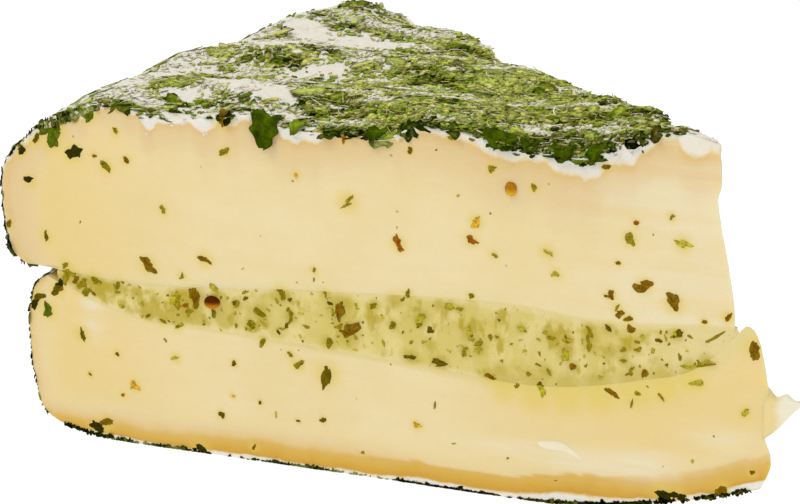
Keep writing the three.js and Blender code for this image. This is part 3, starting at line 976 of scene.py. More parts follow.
def leaves(places, normals, lengths, widths):
    """Torn dry leaves: a lens of uneven outline, curled along and across, a point at one end. Each has 15
    points above and 3 more under its middle"""
    count = len(places)
    headings = rng.uniform(0, 2 * math.pi, count)
    x_axis, y_axis, out = leaf_frames(normals, headings, FLAKE_TILT)
    half = LEAF_HALF_WIDTHS * rng.uniform(0.65, 1.2, (count, 2, 5))
    along = LEAF_STATIONS + rng.uniform(-0.12, 0.12, (count, 3, 5))
    across = np.stack([-half[:, 0], rng.uniform(-0.12, 0.12, (count, 5)), half[:, 1]], axis=1)
    curls = FLAKE_CURL * rng.uniform(-0.4, 1.0, (count, 3, 1, 1))
    lift = curls[:, 0] * along**2 + curls[:, 1] * across**2 + curls[:, 2] * along * across
    middle = np.array([0, 1, 0])[:, None] * np.array([0, 1, 1, 1, 0])
    upper_lift = lift + middle * FLAKE_THICKNESS * 0.6
    scaled = (along * lengths[:, None, None] / 2, across * widths[:, None, None] / 2, upper_lift)
    local = np.stack(scaled, axis=-1).reshape(count, 15, 3)
    under = local[:, 6:9] - np.array([0, 0, FLAKE_THICKNESS])
    local = np.concatenate([local, under], axis=1)
    axes = np.stack([x_axis, y_axis, out], axis=1)
    points = places[:, None] + np.einsum("nki,nij->nkj", local, axes)
    faces = LEAF_FACES[None] + 18 * np.arange(count)[:, None, None]
    return points.reshape(-1, 3), faces.reshape(-1, 4), 18


def ring_faces(rings, sides):
    """Quads that join rings of points one above the other. Two middle points, last of all, close the
    ends"""
    ring = np.arange(rings * sides).reshape(rings, sides)
    after = np.roll(ring, -1, axis=1)
    wall = np.stack([ring[:-1], after[:-1], after[1:], ring[1:]], axis=-1).reshape(-1, 4)
    i = np.arange(0, sides, 2)
    start, end = np.full(len(i), rings * sides), np.full(len(i), rings * sides + 1)
    foot = np.stack([start, ring[0, (i + 2) % sides], ring[0, i + 1], ring[0, i]], axis=1)
    cap = np.stack([end, ring[-1, i], ring[-1, i + 1], ring[-1, (i + 2) % sides]], axis=1)
    return np.vstack([wall, foot, cap])


SHRED_SIDES = 14
# Rings of a shred, from underneath to its top: share of its outline, height, and share of the rim's colour
SHRED_RINGS = [(0.55, -0.3, 1.0), (1.0, -0.08, 1.0), (0.62, 0.05, 0.35), (0.22, 0.09, 0.0)]


def shreds(places, normals, lengths, widths, headings):
    """Torn herbs set in the cut: an oval whose outline is ragged by two waves and by chance, sunk at its
    rim and a little proud in its middle"""
    count = len(places)
    x_axis, y_axis, out = leaf_frames(normals, headings, 0.02)
    turn = np.arange(SHRED_SIDES) * 2 * math.pi / SHRED_SIDES
    phase = rng.uniform(0, 2 * math.pi, (count, 2, 1))
    ragged = 1 + 0.16 * np.cos(2 * turn + phase[:, 0]) + 0.14 * np.cos(3 * turn + phase[:, 1])
    ragged += 0.22 * rng.uniform(-1, 1, (count, SHRED_SIDES))
    shares, heights, _ = np.array(SHRED_RINGS).T
    radius = ragged[:, None] * shares[:, None]
    across = radius * np.cos(turn) * lengths[:, None, None] / 2
    upward = radius * np.sin(turn) * widths[:, None, None] / 2
    rise = np.broadcast_to(heights[:, None], radius.shape)
    rings = np.stack([across, upward, rise], axis=-1).reshape(count, -1, 3)
    middles = np.broadcast_to([[0, 0, heights[0]], [0, 0, heights[-1]]], (count, 2, 3))
    local = np.concatenate([rings, middles], axis=1)
    points = places[:, None] + np.einsum("nki,nij->nkj", local, np.stack([x_axis, y_axis, out], axis=1))
    each = local.shape[1]
    faces = ring_faces(len(SHRED_RINGS), SHRED_SIDES) + each * np.arange(count)[:, None, None]
    return points.reshape(-1, 3), faces.reshape(-1, 4)


def shred_colours(colours):
    """Each herb's colour at all its points: its own in the middle, golden towards the rim, blotched"""
    rim = np.append(np.repeat([ring[2] for ring in SHRED_RINGS], SHRED_SIDES), [1.0, 0.0])
    blotched = np.array(colours)[:, None] * rng.uniform(0.45, 1.6, (len(colours), len(rim), 1))
    lightness = np.clip(3.0 * np.max(np.array(colours)[:, :3], axis=1), 0.15, 1.0)
    own = mix(blotched, np.array(linear(RIM_GOLD)) * lightness[:, None, None], 0.7 * rim[:, None])
    own[..., 3] = 1.0
    return own.reshape(-1, 4)


STALK_STATIONS = np.linspace(-1, 1, 6)


def stalks(places, normals, lengths, thicknesses, headings, bend):
    """Thin stalks: a four-sided section carried along a bowed path and narrowed at both ends"""
    count = len(places)
    x_axis, y_axis, out = leaf_frames(normals, headings, 0.12)
    bow = bend * rng.uniform(-1, 1, (count, 2, 1)) * STALK_STATIONS**2 * lengths[:, None, None] / 4
    taper = (1 - 0.55 * STALK_STATIONS**2) * thicknesses[:, None] / 2
    turn = np.arange(4) * math.pi / 2
    side = taper[:, :, None] * np.cos(turn) * 1.3
    rise = taper[:, :, None] * np.sin(turn) * 0.8
    along = np.broadcast_to((STALK_STATIONS * lengths[:, None] / 2)[:, :, None], side.shape)
    local = np.stack([along, side + bow[:, 0, :, None], rise + 0.3 * np.abs(bow[:, 1, :, None])], axis=-1)
    axes = np.stack([x_axis, y_axis, out], axis=1)
    points = places[:, None, None] + np.einsum("nski,nij->nskj", local, axes)
    ring = np.arange(24).reshape(6, 4)
    after = np.roll(ring, -1, axis=1)
    tube = np.stack([ring[:-1], ring[1:], after[1:], after[:-1]], axis=-1).reshape(-1, 4)[:, ::-1]
    faces = np.vstack([tube, ring[:1, ::-1], ring[-1:]])
    faces = faces[None] + 24 * np.arange(count)[:, None, None]
    return points.reshape(-1, 3), faces.reshape(-1, 4), 24


def crumbs(places, sizes, steps=2, rough=0.35, flat=0.75):
    """Crumbs: the skin of a small box blown up to a ball, dented by chance and flattened"""
    lattice, faces = box_skin((steps, steps, steps))
    ball = unit(lattice - 0.5)
    count = len(places)
    dents = 1 + rough * rng.uniform(-1, 1, (count, len(ball), 1))
    shape = ball * dents * sizes[:, None, None] / 2 * np.array([1, 1, flat])
    points = places[:, None] + shape * rng.uniform(0.7, 1.3, (count, 1, 3))
    faces = faces[None] + len(ball) * np.arange(count)[:, None, None]
    return points.reshape(-1, 3), faces.reshape(-1, 4), len(ball)


def tints(palette, shares, count, repeats, jitter=0.18):
    """A colour for each flake, drawn from the palette by its shares, a little lighter or darker"""
    pick = rng.choice(len(palette), size=count, p=np.array(shares) / sum(shares))
    colours = np.array([linear(colour) for colour in palette])[pick]
    colours[:, :3] *= rng.uniform(1 - jitter, 1 + jitter, (count, 1)) * rng.uniform(0.94, 1.06, (count, 3))
    return np.repeat(colours, repeats, axis=0)


def joined(parts):
    """Several sets of points and faces as one"""
    offsets = np.cumsum([0] + [len(points) for points, _ in parts[:-1]])
    faces = [part[1] + offset for part, offset in zip(parts, offsets)]
    return np.vstack([points for points, _ in parts]), np.vstack(faces)


EVEN_STEPS = np.array([0.7548776662, 0.5698402910])   # steps that never fall into a pattern
STRAY = 0.02


def even_pairs(count):
    """Pairs of numbers from 0 to 1 that fill a square evenly, each strayed a little"""
    i = np.arange(1, count + 1)
    pairs = i[:, None] * EVEN_STEPS % 1.0
    return np.clip(pairs + STRAY * rng.uniform(-1, 1, pairs.shape), 0.0, 1.0)


EDGE_ROOM = 0.9   # how long a leaf may be at an edge


def herb_sites(count):
    """Places, normals, herb cover and room for a leaf on the top, thinned out where herbs are few"""
    a, b = even_pairs(count).T
    u = 0.03 + 0.965 * np.sqrt(a)
    points, normals = skin_normals(upper_surface, u, b, np.ones(count), "uv", UP)
    cover = top_cover(points)
    kept = rng.uniform(0, 1, count) < cover**1.3
    room = EDGE_ROOM + 3.0 * np.minimum(b, 1 - b) * u * TOP_RIM
    return points[kept], normals[kept], cover[kept], room[kept]


def rind_sites(surface, count, low, high):
    """Places, normals, herb cover and room for a leaf on the round rind between two shares of its height"""
    a, b = even_pairs(count).T
    points, normals = skin_normals(surface, np.ones(count), a, mix(low, high, b), "vw", TOWARDS_RIND)
    cover = side_cover(points)
    kept = rng.uniform(0, 1, count) < cover**1.3
    room = EDGE_ROOM + 3.0 * np.minimum(a, 1 - a) * TOP_RIM
    return points[kept], normals[kept], cover[kept], room[kept]


def herb_shade(points):
    """Dark herbs along the near edge and by the tip, lighter ones behind, in drifts and small clumps"""
    reach, _, _ = cut_place(points)
    back = points[:, 1] - NEAR_Y
    drifts = noise(points * WITH_WRINKLES, 3.6, 25) + 1.3 * noise(points * WITH_WRINKLES, 1.3, 26)
    from_edge = mix(0.62, 1.8, smoothstep(0.5, 9, back))
    from_tip = mix(0.6, 1.0, smoothstep(12, 36, reach))
    return from_edge * from_tip * np.exp(drifts)


def shaded(colours, shade):
    """Colours darkened by a shade under 1, or lit and made paler by a shade over 1"""
    pale = 0.6 * np.clip(shade - 1.0, 0, 1)[:, None]
    lit = colours[:, :3] * np.minimum(shade, 1.8)[:, None]
    return np.column_stack([mix(lit, np.array(linear(LEAF_PALE)[:3]), pale), colours[:, 3]])


def bloom_veil(points, cover):
    """White bloom over the herbs: more where they are few, and in streaks that run with the wrinkles"""
    reach, _, _ = cut_place(points)
    from_edge = smoothstep(0.5, 5, points[:, 1] - NEAR_Y) * mix(0.5, 1.0, smoothstep(12, 36, reach))
    return 0.22 * (1 - cover) + from_edge * (0.95 * noise(points * WITH_WRINKLES, 2.2, 27) + 0.04)


# Greens of the herbs, and their shares on the top and on the rind
GREENS = [LEAF_BRIGHT, LEAF, LEAF_DARK, LEAF_BLACK, OLIVE, STRAW]
TOP_SHARES = [0.34, 0.25, 0.14, 0.07, 0.06, 0.14]
RIND_SHARES = [0.16, 0.26, 0.26, 0.16, 0.12, 0.04]

# How many of each are drawn, before any thinning
TOP_FLAKES = 8200
TOP_LEAVES = 560
PALE_WISPS = 900
HERB_CRUMBS = 9000
UPPER_RIND_FLAKES = 2600
LOWER_RIND_FLAKES = 1700
EDGE_FLAKES = 460
SHOULDER_FLAKES = 46
RIM_FLAKES = 170
BASE_FLAKES = 3400
EDGE_CRUMBS = 900
FINE_SPECKS = 420


def herb_piece(name, points, faces, finish, tint, bloom=0.0):
    """A piece of herbs, with a colour and a growth of bloom for each of its points"""
    values = {"tint": tint, "bloom": np.zeros(len(points)) + bloom}
    put_mesh(name, points, faces, finish, values)


def flake_piece(name, sites, mean_length, shares, lift, veil=1.0, lowest=None):
    """One piece of leaf flakes on the given sites, laid over each other by chance heights"""
    places, normals, cover, room = sites
    count = len(places)
    lengths = np.clip(mean_length * rng.lognormal(0.0, 0.38, count), 0.7, 7.0)
    lengths = np.minimum(lengths, room)
    widths = lengths * rng.uniform(0.38, 0.72, count)
    heights = lift * rng.uniform(0.0, 1.6, (count, 1))
    spots = places + normals * heights
    points, faces, repeats = leaves(spots, normals, lengths, widths)
    if lowest is not None:
        points[:, 2] = np.maximum(points[:, 2], lowest)
    colours = shaded(tints(GREENS, shares, count, repeats), np.repeat(herb_shade(places), repeats))
    bloom = veil * (bloom_veil(places, cover) + rng.uniform(-0.15, 0.15, count))
    herb_piece(name, points, faces, LEAF_FINISH, colours, np.repeat(bloom, repeats))


flake_piece("top_flakes", herb_sites(TOP_FLAKES), 1.3, TOP_SHARES, lift=0.08)
flake_piece("top_leaves", herb_sites(TOP_LEAVES), 2.8, TOP_SHARES, lift=0.1, veil=0.35)


def pale_wisps():
    """Thin pale fibres among the herbs of the top, lying with the wrinkles"""
    places, normals, cover, _ = herb_sites(PALE_WISPS)
    count = len(places)
    headings = rng.normal(0.0, 0.5, count)
    lengths, thicknesses = rng.uniform(1.2, 3.4, count), rng.uniform(0.12, 0.2, count)
    spots = places + normals * 0.25
    points, faces, repeats = stalks(spots, normals, lengths, thicknesses, headings, bend=0.8)
    colours = tints([STRAW, BLOOM, LEAF_PALE], [0.3, 0.4, 0.3], count, repeats)
    herb_piece("pale_wisps", points, faces, LEAF_FINISH, colours, np.repeat(0.3 * (1 - cover), repeats))


def herb_crumbs():
    """Fine crumbs of crushed herb between the flakes of the top"""
    places, normals, cover, _ = herb_sites(HERB_CRUMBS)
    count = len(places)
    sizes = np.clip(rng.lognormal(-0.35, 0.35, count), 0.35, 1.5)
    points, faces, repeats = crumbs(places + normals * 0.12, sizes, steps=1, rough=0.4, flat=0.5)
    colours = tints(GREENS, TOP_SHARES, count, repeats, jitter=0.35)
    colours = shaded(colours, np.repeat(herb_shade(places), repeats))
    veil = bloom_veil(places, cover) + rng.uniform(-0.2, 0.2, count)
    herb_piece("herb_crumbs", points, faces, LEAF_FINISH, colours, np.repeat(veil, repeats))


pale_wisps()
herb_crumbs()
upper_sites = rind_sites(upper_surface, UPPER_RIND_FLAKES, 0.06, 0.99)
flake_piece("upper_rind_flakes", upper_sites, 1.9, RIND_SHARES, lift=0.1)
lower_sites = rind_sites(lower_surface, LOWER_RIND_FLAKES, 0.06, 0.98)
flake_piece("lower_rind_flakes", lower_sites, 1.9, RIND_SHARES, lift=0.1)


# Herbs along the edges

NEAR_OUT = np.array([0.0, -1.0, 0.0])
FAR_OUT = np.array([math.sin(math.radians(UPPER_ANGLE)), math.cos(math.radians(UPPER_ANGLE)), 0.0])
DOWN = -UP

# How thick the herbs hang over the top edge: distance from the tip, half length, share
EDGE_HERBS = [
    (9, 3, 0.5), (19, 7, 1.0), (32, 8, 1.0), (48, 8, 0.8), (56, 4.5, 0.6), (73, 2.5, 0.35), (88, 4, 0.5),
    (95, 4, 0.3),
]
# Shares of the greens along the top edges and along the foot
EDGE_SHARES = [0.12, 0.28, 0.34, 0.18, 0.06, 0.02]
BASE_SHARES = [0.0, 0.05, 0.3, 0.6, 0.05, 0.0]


def edge_flakes():
    """Leaves that hang over both top edges: on the edge, tilted between up and out of the cut"""
    count = EDGE_FLAKES
    u = 0.05 + 0.94 * rng.uniform(0, 1, count)
    far = rng.uniform(0, 1, count) < 0.35
    spots = upper_surface(u, np.where(far, 1.0, 0.0), np.ones(count))
    reach, _, _ = cut_place(spots)
    share = sum(amount * bell(reach, centre, half) for centre, half, amount in EDGE_HERBS)
    kept = rng.uniform(0, 1, count) < share
    spots, far = spots[kept], far[kept]
    out = np.where(far[:, None], FAR_OUT, NEAR_OUT)
    lean = np.where(far, 0.25, 0.8)[:, None] * rng.uniform(0.0, 1.0, (len(spots), 1)) ** 2
    normals = unit(mix(UP, out, lean))
    spots = spots + out * 0.3 * lean + DOWN * 0.6 * lean**2
    return spots, normals, np.full(len(spots), 0.9), np.full(len(spots), 3.2)


def shoulder_flakes():
    """Herbs on the near cut where the rind turns over from the top: within a few millimetres of the rind"""
    count = SHOULDER_FLAKES
    w = rng.uniform(0.74, 0.98, count)
    u = 1 - 0.03 * rng.uniform(0, 1, count) ** 1.4 * smoothstep(0.68, 0.85, w)
    spots = upper_surface(u, np.zeros(count), w)
    normals = unit(NEAR_OUT + 0.12 * UP + 0.1 * TOWARDS_RIND + 0.03 * rng.normal(size=(count, 3)))
    return spots, normals, np.full(count, 0.5), np.full(count, 3.0)


def rim_flakes():
    """Small herbs along the near edge of the round rind of both halves"""
    count = RIM_FLAKES
    w = rng.uniform(0.04, 0.96, count)
    v = rng.uniform(0.0, 0.008, count)
    in_upper = rng.uniform(0, 1, count) < 0.6
    ends = [surface(np.ones(count), v, w) for surface in (lower_surface, upper_surface)]
    spots = np.where(in_upper[:, None], ends[1], ends[0])
    normals = unit(NEAR_OUT + 2.0 * TOWARDS_RIND + 0.1 * rng.normal(size=(count, 3)))
    return spots, normals, np.ones(count), np.full(count, 1.6)


def base_flakes():
    """Dark herbs along the foot of both cuts and of the rind, in clumps, never under the base"""
    count = BASE_FLAKES
    side = rng.integers(0, 3, count)
    run_along = rng.uniform(0.01, 0.99, count)
    u = np.where(side == 2, 1.0, run_along)
    v = np.choose(side, [np.zeros(count), np.ones(count), run_along])
    spots = lower_surface(u, v, np.zeros(count))
    kept = rng.uniform(-1, 0.35, count) < noise(spots, 5.0, 41)
    spots, side = spots[kept], side[kept]
    out = np.stack([NEAR_OUT, FAR_OUT, TOWARDS_RIND])[side]
    lift = rng.uniform(0.0, 0.35, (len(spots), 1))
    normals = unit(out + DOWN * 0.3)
    spots = spots + UP * lift + out * 0.05
    return spots, normals, np.ones(len(spots)), np.full(len(spots), 1.7)


flake_piece("edge_flakes", edge_flakes(), 2.0, EDGE_SHARES, lift=0.1, veil=0.3)
flake_piece("shoulder_flakes", shoulder_flakes(), 1.2, RIND_SHARES, lift=0.02, veil=0.8)
flake_piece("rim_flakes", rim_flakes(), 0.7, BASE_SHARES, lift=0.0, veil=0.0)
flake_piece("base_flakes", base_flakes(), 0.65, BASE_SHARES, lift=0.05, veil=0.0, lowest=OFF_THE_TABLE)


def edge_crumbs():
    """White crumbs of rind on the cuts just under both top edges, thick where the bloom is deep"""
    count = EDGE_CRUMBS
    u = rng.uniform(0.0, 0.99, count)
    far = rng.uniform(0, 1, count) < 0.5
    spots = upper_surface(u, np.where(far, 1.0, 0.0), np.ones(count))
    reach, _, _ = cut_place(spots)
    depth = edge_bloom(reach)
    kept = rng.uniform(0.6, 3.0, count) < depth
    spots, far, depth = spots[kept], far[kept], depth[kept]
    out = np.where(far[:, None], FAR_OUT, NEAR_OUT)
    spots = spots + DOWN * (rng.uniform(-0.1, 0.75, len(spots)) * depth)[:, None] + out * 0.05
    sizes = rng.lognormal(-0.85, 0.3, len(spots))
    points, faces, _ = crumbs(spots, sizes)
    put_mesh("rind_crumbs", points, faces, WHITE_RIND)


edge_crumbs()

# Leaves that hang over the near edge: distance from the tip, drop, width, colour
HANGING_LEAVES = [
    (66.8, 3.8, 3.9, LEAF_DARK), (31, 1.0, 4.6, LEAF_DARK), (27, 0.5, 2.6, LEAF_DARK),
    (22.5, 0.7, 3.0, LEAF_DARK), (17.5, 0.7, 2.6, LEAF_DARK), (50, 0.5, 3.0, LEAF_DARK),
    (62, 0.7, 1.8, LEAF),
]
LEAF_ON_TOP = 1.7
BEND_RADIUS = 0.35
LEAF_THICKNESS = 0.35
LEAF_STEPS = (16, 10, 1)


def over(x):
    """0 far below zero, x far above it, and a round bend between them"""
    return 0.5 * (x + np.sqrt(x * x + 0.5))


def hanging_leaves():
    """Leaves bent over the near edge: from a little way back on the top, round the edge and down the cut,
    with a toothed outline that narrows to a point"""
    lattice, faces = box_skin(LEAF_STEPS)
    a, b, c = lattice[:, 0], 2 * lattice[:, 1] - 1, lattice[:, 2] - 0.5
    parts, colours = [], []
    for number, (along, drop, width, colour) in enumerate(HANGING_LEAVES):
        teeth = 1 + 0.16 * np.sin(17 * a + number) * np.sign(b)
        half = width / 2 * np.sin(math.pi * np.clip(0.16 + 0.82 * a, 0, 1)) ** 0.6 * teeth
        travel = mix(-LEAF_ON_TOP, drop, a)
        cup = 0.35 * b * b + 0.15 * np.sin(5 * a + 3 * b + number) - 0.2 * bell(b, 0.0, 0.15)
        out = 0.6 + cup + c * LEAF_THICKNESS
        reach = along - b * half + 0.4 * np.sin(2 * a + number)
        share = np.clip((reach - UPPER_TIP[-1][0]) / (TOP_RIM - UPPER_TIP[-1][0]), 0.0, 0.99)
        edge = upper_surface(share, 0.0, 1.0)
        bend = smoothstep(-0.8, 0.8, travel)
        behind = over(-travel) - BEND_RADIUS - out * bend
        above = out * (1 - bend) + BEND_RADIUS - over(travel)
        spot = edge + np.stack([0 * a, behind, above], axis=1)
        parts.append((spot, faces))
        mottle = 1.15 + 0.6 * noise(spot, 1.1, 51) + 0.4 * bell(b, 0.0, 0.15)
        colours.append(np.array(linear(colour)) * mottle[:, None])
    points, quads = joined(parts)
    herb_piece("hanging_leaves", points, quads, LEAF_FINISH, np.vstack(colours), -0.1)


hanging_leaves()


# Herbs in the near cut, by their places in the photograph


def camera_axes():
    """The camera's right, up and back directions from its azimuth and elevation"""
    a, e = CAMERA_AZIMUTH, CAMERA_ELEVATION
    back = np.array([math.sin(a) * math.cos(e), -math.cos(a) * math.cos(e), math.sin(e)])
    right = np.array([math.cos(a), math.sin(a), 0.0])
    return right, np.cross(back, right), back


def near_cut():
    """The bodies as one tree of faces in millimetres, to find places on the cut"""
    points, faces = joined([(points, faces) for _, points, faces in BODIES])
    return BVHTree.FromPolygons(points.tolist(), faces.tolist())


def in_view(pixels, tree):
    """Where the sight lines of the photograph's pixels meet the bodies, and the normals there"""
    right, up, back = camera_axes()
    origin = CAMERA_AIM + back * CAMERA_DISTANCE
    spots, normals = [], []
    for x, y in pixels:
        sight = right * (x - PHOTO_WIDTH / 2) - up * (y - PHOTO_HEIGHT / 2) - back * FOCAL_PIXELS
        spot, normal, _, _ = tree.ray_cast(Vector(origin), Vector(unit(sight)))
        if spot is not None:
            spots.append(spot)
            normals.append(normal)
    return np.array(spots), np.array(normals)


PIXELS_PER_MM = 6.66
SHRED_SPREAD = 1.25
CLUMP_SHREDS = 3

# Pixel across and down, pixels long and wide, and degrees of turn
LEAF_BITS = {
    "leaf": (CUT_LEAF, [
        (52, 140, 25, 13, 80), (56, 128, 18, 10, 70), (44, 132, 14, 8, 50), (89, 116, 14, 11, 60),
        (48, 311, 17, 11, 80),
    ]),
    "dark green": (CUT_DARK, [
        (46, 236, 12, 4, 110), (82, 334, 15, 5, 125), (327, 375, 22, 9, 65),
        (323, 420, 6, 5, 30), (540, 386, 9, 6, 110), (117, 354, 6, 5, 150), (234, 363, 7, 5, 70),
        (222, 415, 8, 6, 130), (260, 402, 5, 3, 80), (298, 421, 4, 3, 10), (605, 296, 4, 3, 0),
        (676, 335, 11, 6, 10), (608, 328, 9, 5, 130), (410, 357, 14, 6, 10), (440, 363, 15, 7, 150),
        (35, 140, 11, 6, 50), (57, 290, 13, 8, 50), (38, 298, 14, 8, 40),
    ]),
    "green": (CUT_GREEN, [
        (106, 167, 12, 8, 140),
        (224, 152, 10, 6, 30), (116, 132, 8, 5, 120), (298, 365, 12, 8, 45), (290, 354, 8, 5, 120),
        (94, 279, 13, 5, 150), (118, 285, 12, 8, 60), (258, 312, 16, 8, 160),
        (281, 292, 14, 9, 120), (291, 317, 12, 5, 85), (252, 325, 12, 8, 20), (263, 341, 8, 6, 60),
        (329, 343, 13, 8, 50), (148, 316, 9, 4, 40), (163, 321, 9, 4, 150), (178, 326, 9, 4, 10),
        (408, 294, 9, 5, 80), (471, 297, 8, 6, 60), (374, 305, 8, 6, 60), (393, 325, 10, 7, 60),
    ]),
    "olive": (CUT_OLIVE, [
        (69, 273, 18, 11, 70), (80, 286, 14, 8, 40), (66, 265, 10, 5, 30), (163, 210, 8, 5, 110),
        (348, 202, 19, 3, 65), (534, 188, 8, 6, 100), (451, 138, 6, 5, 0),
        (491, 169, 8, 6, 40), (672, 217, 6, 4, 60), (494, 255, 7, 4, 160), (630, 239, 12, 8, 115),
        (617, 308, 8, 3, 65), (620, 315, 4, 3, 0), (177, 299, 14, 9, 60), (188, 312, 12, 5, 30),
        (213, 302, 5, 4, 0), (237, 305, 8, 5, 70), (182, 276, 8, 3, 80), (314, 271, 7, 3, 80),
        (325, 292, 9, 4, 110), (340, 326, 9, 5, 80), (480, 343, 10, 5, 40), (497, 337, 5, 4, 0),
        (551, 338, 7, 6, 0), (566, 339, 9, 5, 120), (589, 345, 12, 5, 100), (623, 350, 8, 5, 45),
        (637, 350, 7, 6, 0), (624, 361, 8, 4, 10), (632, 369, 7, 3, 30), (636, 342, 6, 4, 0),
        (549, 372, 8, 4, 120), (528, 373, 6, 5, 100), (516, 386, 5, 5, 0), (460, 309, 6, 4, 0),
        (465, 350, 10, 4, 60), (638, 394, 7, 5, 150), (661, 397, 9, 4, 130), (589, 330, 10, 5, 100),
    ]),
    "brown": (BROWN, [
        (75, 281, 10, 7, 50), (60, 289, 9, 6, 30), (126, 160, 8, 6, 150), (94, 156, 5, 4, 0),
        (8, 224, 8, 5, 30), (148, 265, 17, 11, 130), (205, 260, 15, 6, 165), (606, 167, 9, 6, 0),
        (410, 151, 7, 6, 80), (612, 393, 13, 6, 155), (106, 422, 14, 7, 20), (254, 447, 7, 4, 60),
        (194, 296, 18, 10, 120), (339, 307, 22, 9, 75), (349, 332, 24, 13, 30), (573, 367, 10, 8, 80),
        (491, 377, 18, 5, 160), (644, 286, 14, 11, 45), (674, 304, 17, 10, 110), (618, 263, 5, 4, 0),
        (611, 295, 10, 6, 100), (620, 314, 9, 8, 60), (628, 319, 9, 7, 20), (754, 348, 17, 10, 105),
        (723, 490, 11, 9, 40), (752, 473, 6, 5, 60), (728, 318, 10, 6, 60),
        (704, 322, 7, 5, 20), (328, 131, 6, 5, 0), (222, 120, 18, 5, 75), (20, 145, 6, 5, 0),
    ]),
    "black": (HERB_BLACK, [
        (664, 495, 18, 12, 5), (678, 496, 14, 8, 170), (100, 428, 18, 9, 160), (202, 450, 14, 8, 160),
        (60, 284, 10, 8, 40), (30, 180, 13, 8, 160), (21, 152, 10, 7, 60), (35, 303, 12, 7, 60),
        (72, 152, 19, 12, 20),
    ]),
    "rust": (RUST, [
        (399, 245, 14, 9, 115), (471, 240, 12, 8, 150), (636, 223, 6, 5, 0), (90, 374, 5, 4, 130),
        (123, 395, 5, 4, 0), (186, 305, 8, 5, 20), (344, 138, 9, 3, 60),
    ]),
    "yellow": (ORANGE, [
        (135, 386, 10, 7, 150), (417, 425, 9, 6, 160), (476, 222, 13, 7, 70), (233, 396, 5, 3, 0),
        (296, 175, 6, 4, 80),
    ]),
    "yellow green": (YELLOW_GREEN, [
        (683, 244, 14, 6, 10), (556, 274, 9, 5, 20), (547, 252, 12, 4, 160), (419, 320, 12, 7, 30),
        (450, 306, 9, 6, 0), (469, 333, 12, 6, 110), (479, 350, 9, 6, 60), (541, 388, 12, 7, 120),
        (565, 355, 12, 8, 80), (176, 358, 9, 4, 10), (697, 383, 14, 6, 20), (745, 413, 9, 6, 60),
        (690, 367, 14, 4, 12), (706, 362, 14, 4, 15), (568, 340, 8, 5, 0), (521, 329, 8, 6, 0),
    ]),
}
STALK_BITS = [
    (716, 337, 22, 2.4, 38), (700, 366, 34, 2.2, 15), (632, 402, 12, 1.8, 80), (435, 405, 8, 2.0, 85),
]


def face_herbs(tree):
    """Herbs cut flush in the near face: each is a clump of torn shreds strewn along it, a little proud"""
    bits = [(colour, bit) for colour, group in LEAF_BITS.values() for bit in group]
    spots, normals = in_view([bit[:2] for _, bit in bits], tree)
    sizes = np.array([bit[2:4] for _, bit in bits]) * SHRED_SPREAD / PIXELS_PER_MM
    turns = np.radians([bit[4] for _, bit in bits])
    clump = np.tile(np.arange(len(bits)), CLUMP_SHREDS)
    stray = 0.22 * rng.uniform(-1, 1, (len(clump), 1)) * sizes[clump, :1]
    heading, _, _ = leaf_frames(normals[clump], turns[clump], 0.0)
    lengths, widths = sizes[clump].T * rng.uniform(0.6, 0.98, (2, len(clump)))
    headings = turns[clump] + rng.normal(0, 0.35, len(clump))
    points, faces = shreds(spots[clump] + heading * stray, normals[clump], lengths, widths, headings)
    points[:, 2] = np.maximum(points[:, 2], OFF_THE_TABLE)
    colours = np.array([linear(colour) for colour, _ in bits])[clump]
    herb_piece("face_herbs", points, faces, SPECK_FINISH, shred_colours(colours))
    return spots, sizes[:, 0]


def face_stalks(tree):
    """Thin stalks in the near face"""
    spots, normals = in_view([bit[:2] for bit in STALK_BITS], tree)
    lengths, thicknesses, turns = np.array([bit[2:] for bit in STALK_BITS]).T
    lengths, thicknesses = lengths / PIXELS_PER_MM, thicknesses / PIXELS_PER_MM
    points, faces, _ = stalks(spots, normals, lengths, thicknesses, np.radians(turns), bend=0.15)
    herb_piece("face_stalks", points, faces, SPECK_FINISH, np.tile(linear(CUT_OLIVE), (len(points), 1)))


# Pixel across and down, pixels wide, and the colours of the lower and the upper side
MUSTARD_SEEDS = [
    (212, 302, 16, (216, 138, 30), (92, 44, 8)), (511, 189, 16, (228, 178, 48), (190, 128, 26)),
]


def mustard_seeds(tree):
    """Round seeds cut into by the knife: dented balls set half into the cut"""
    spots, normals = in_view([seed[:2] for seed in MUSTARD_SEEDS], tree)
    sizes = np.array([seed[2] for seed in MUSTARD_SEEDS]) / PIXELS_PER_MM
    middles = spots - normals * sizes[:, None] * 0.12
    points, faces, repeats = crumbs(middles, sizes, steps=6, rough=0.03, flat=1.0)
    rise = (points - np.repeat(middles, repeats, axis=0))[:, 2] / np.repeat(sizes, repeats)
    pairs = [(linear(lower), linear(upper)) for _, _, _, lower, upper in MUSTARD_SEEDS]
    sides = np.repeat(pairs, repeats, axis=0)
    colours = mix(sides[:, 0], sides[:, 1], smoothstep(-0.2, 0.15, rise)[:, None])
    herb_piece("mustard_seeds", points, faces, SPECK_FINISH, colours)


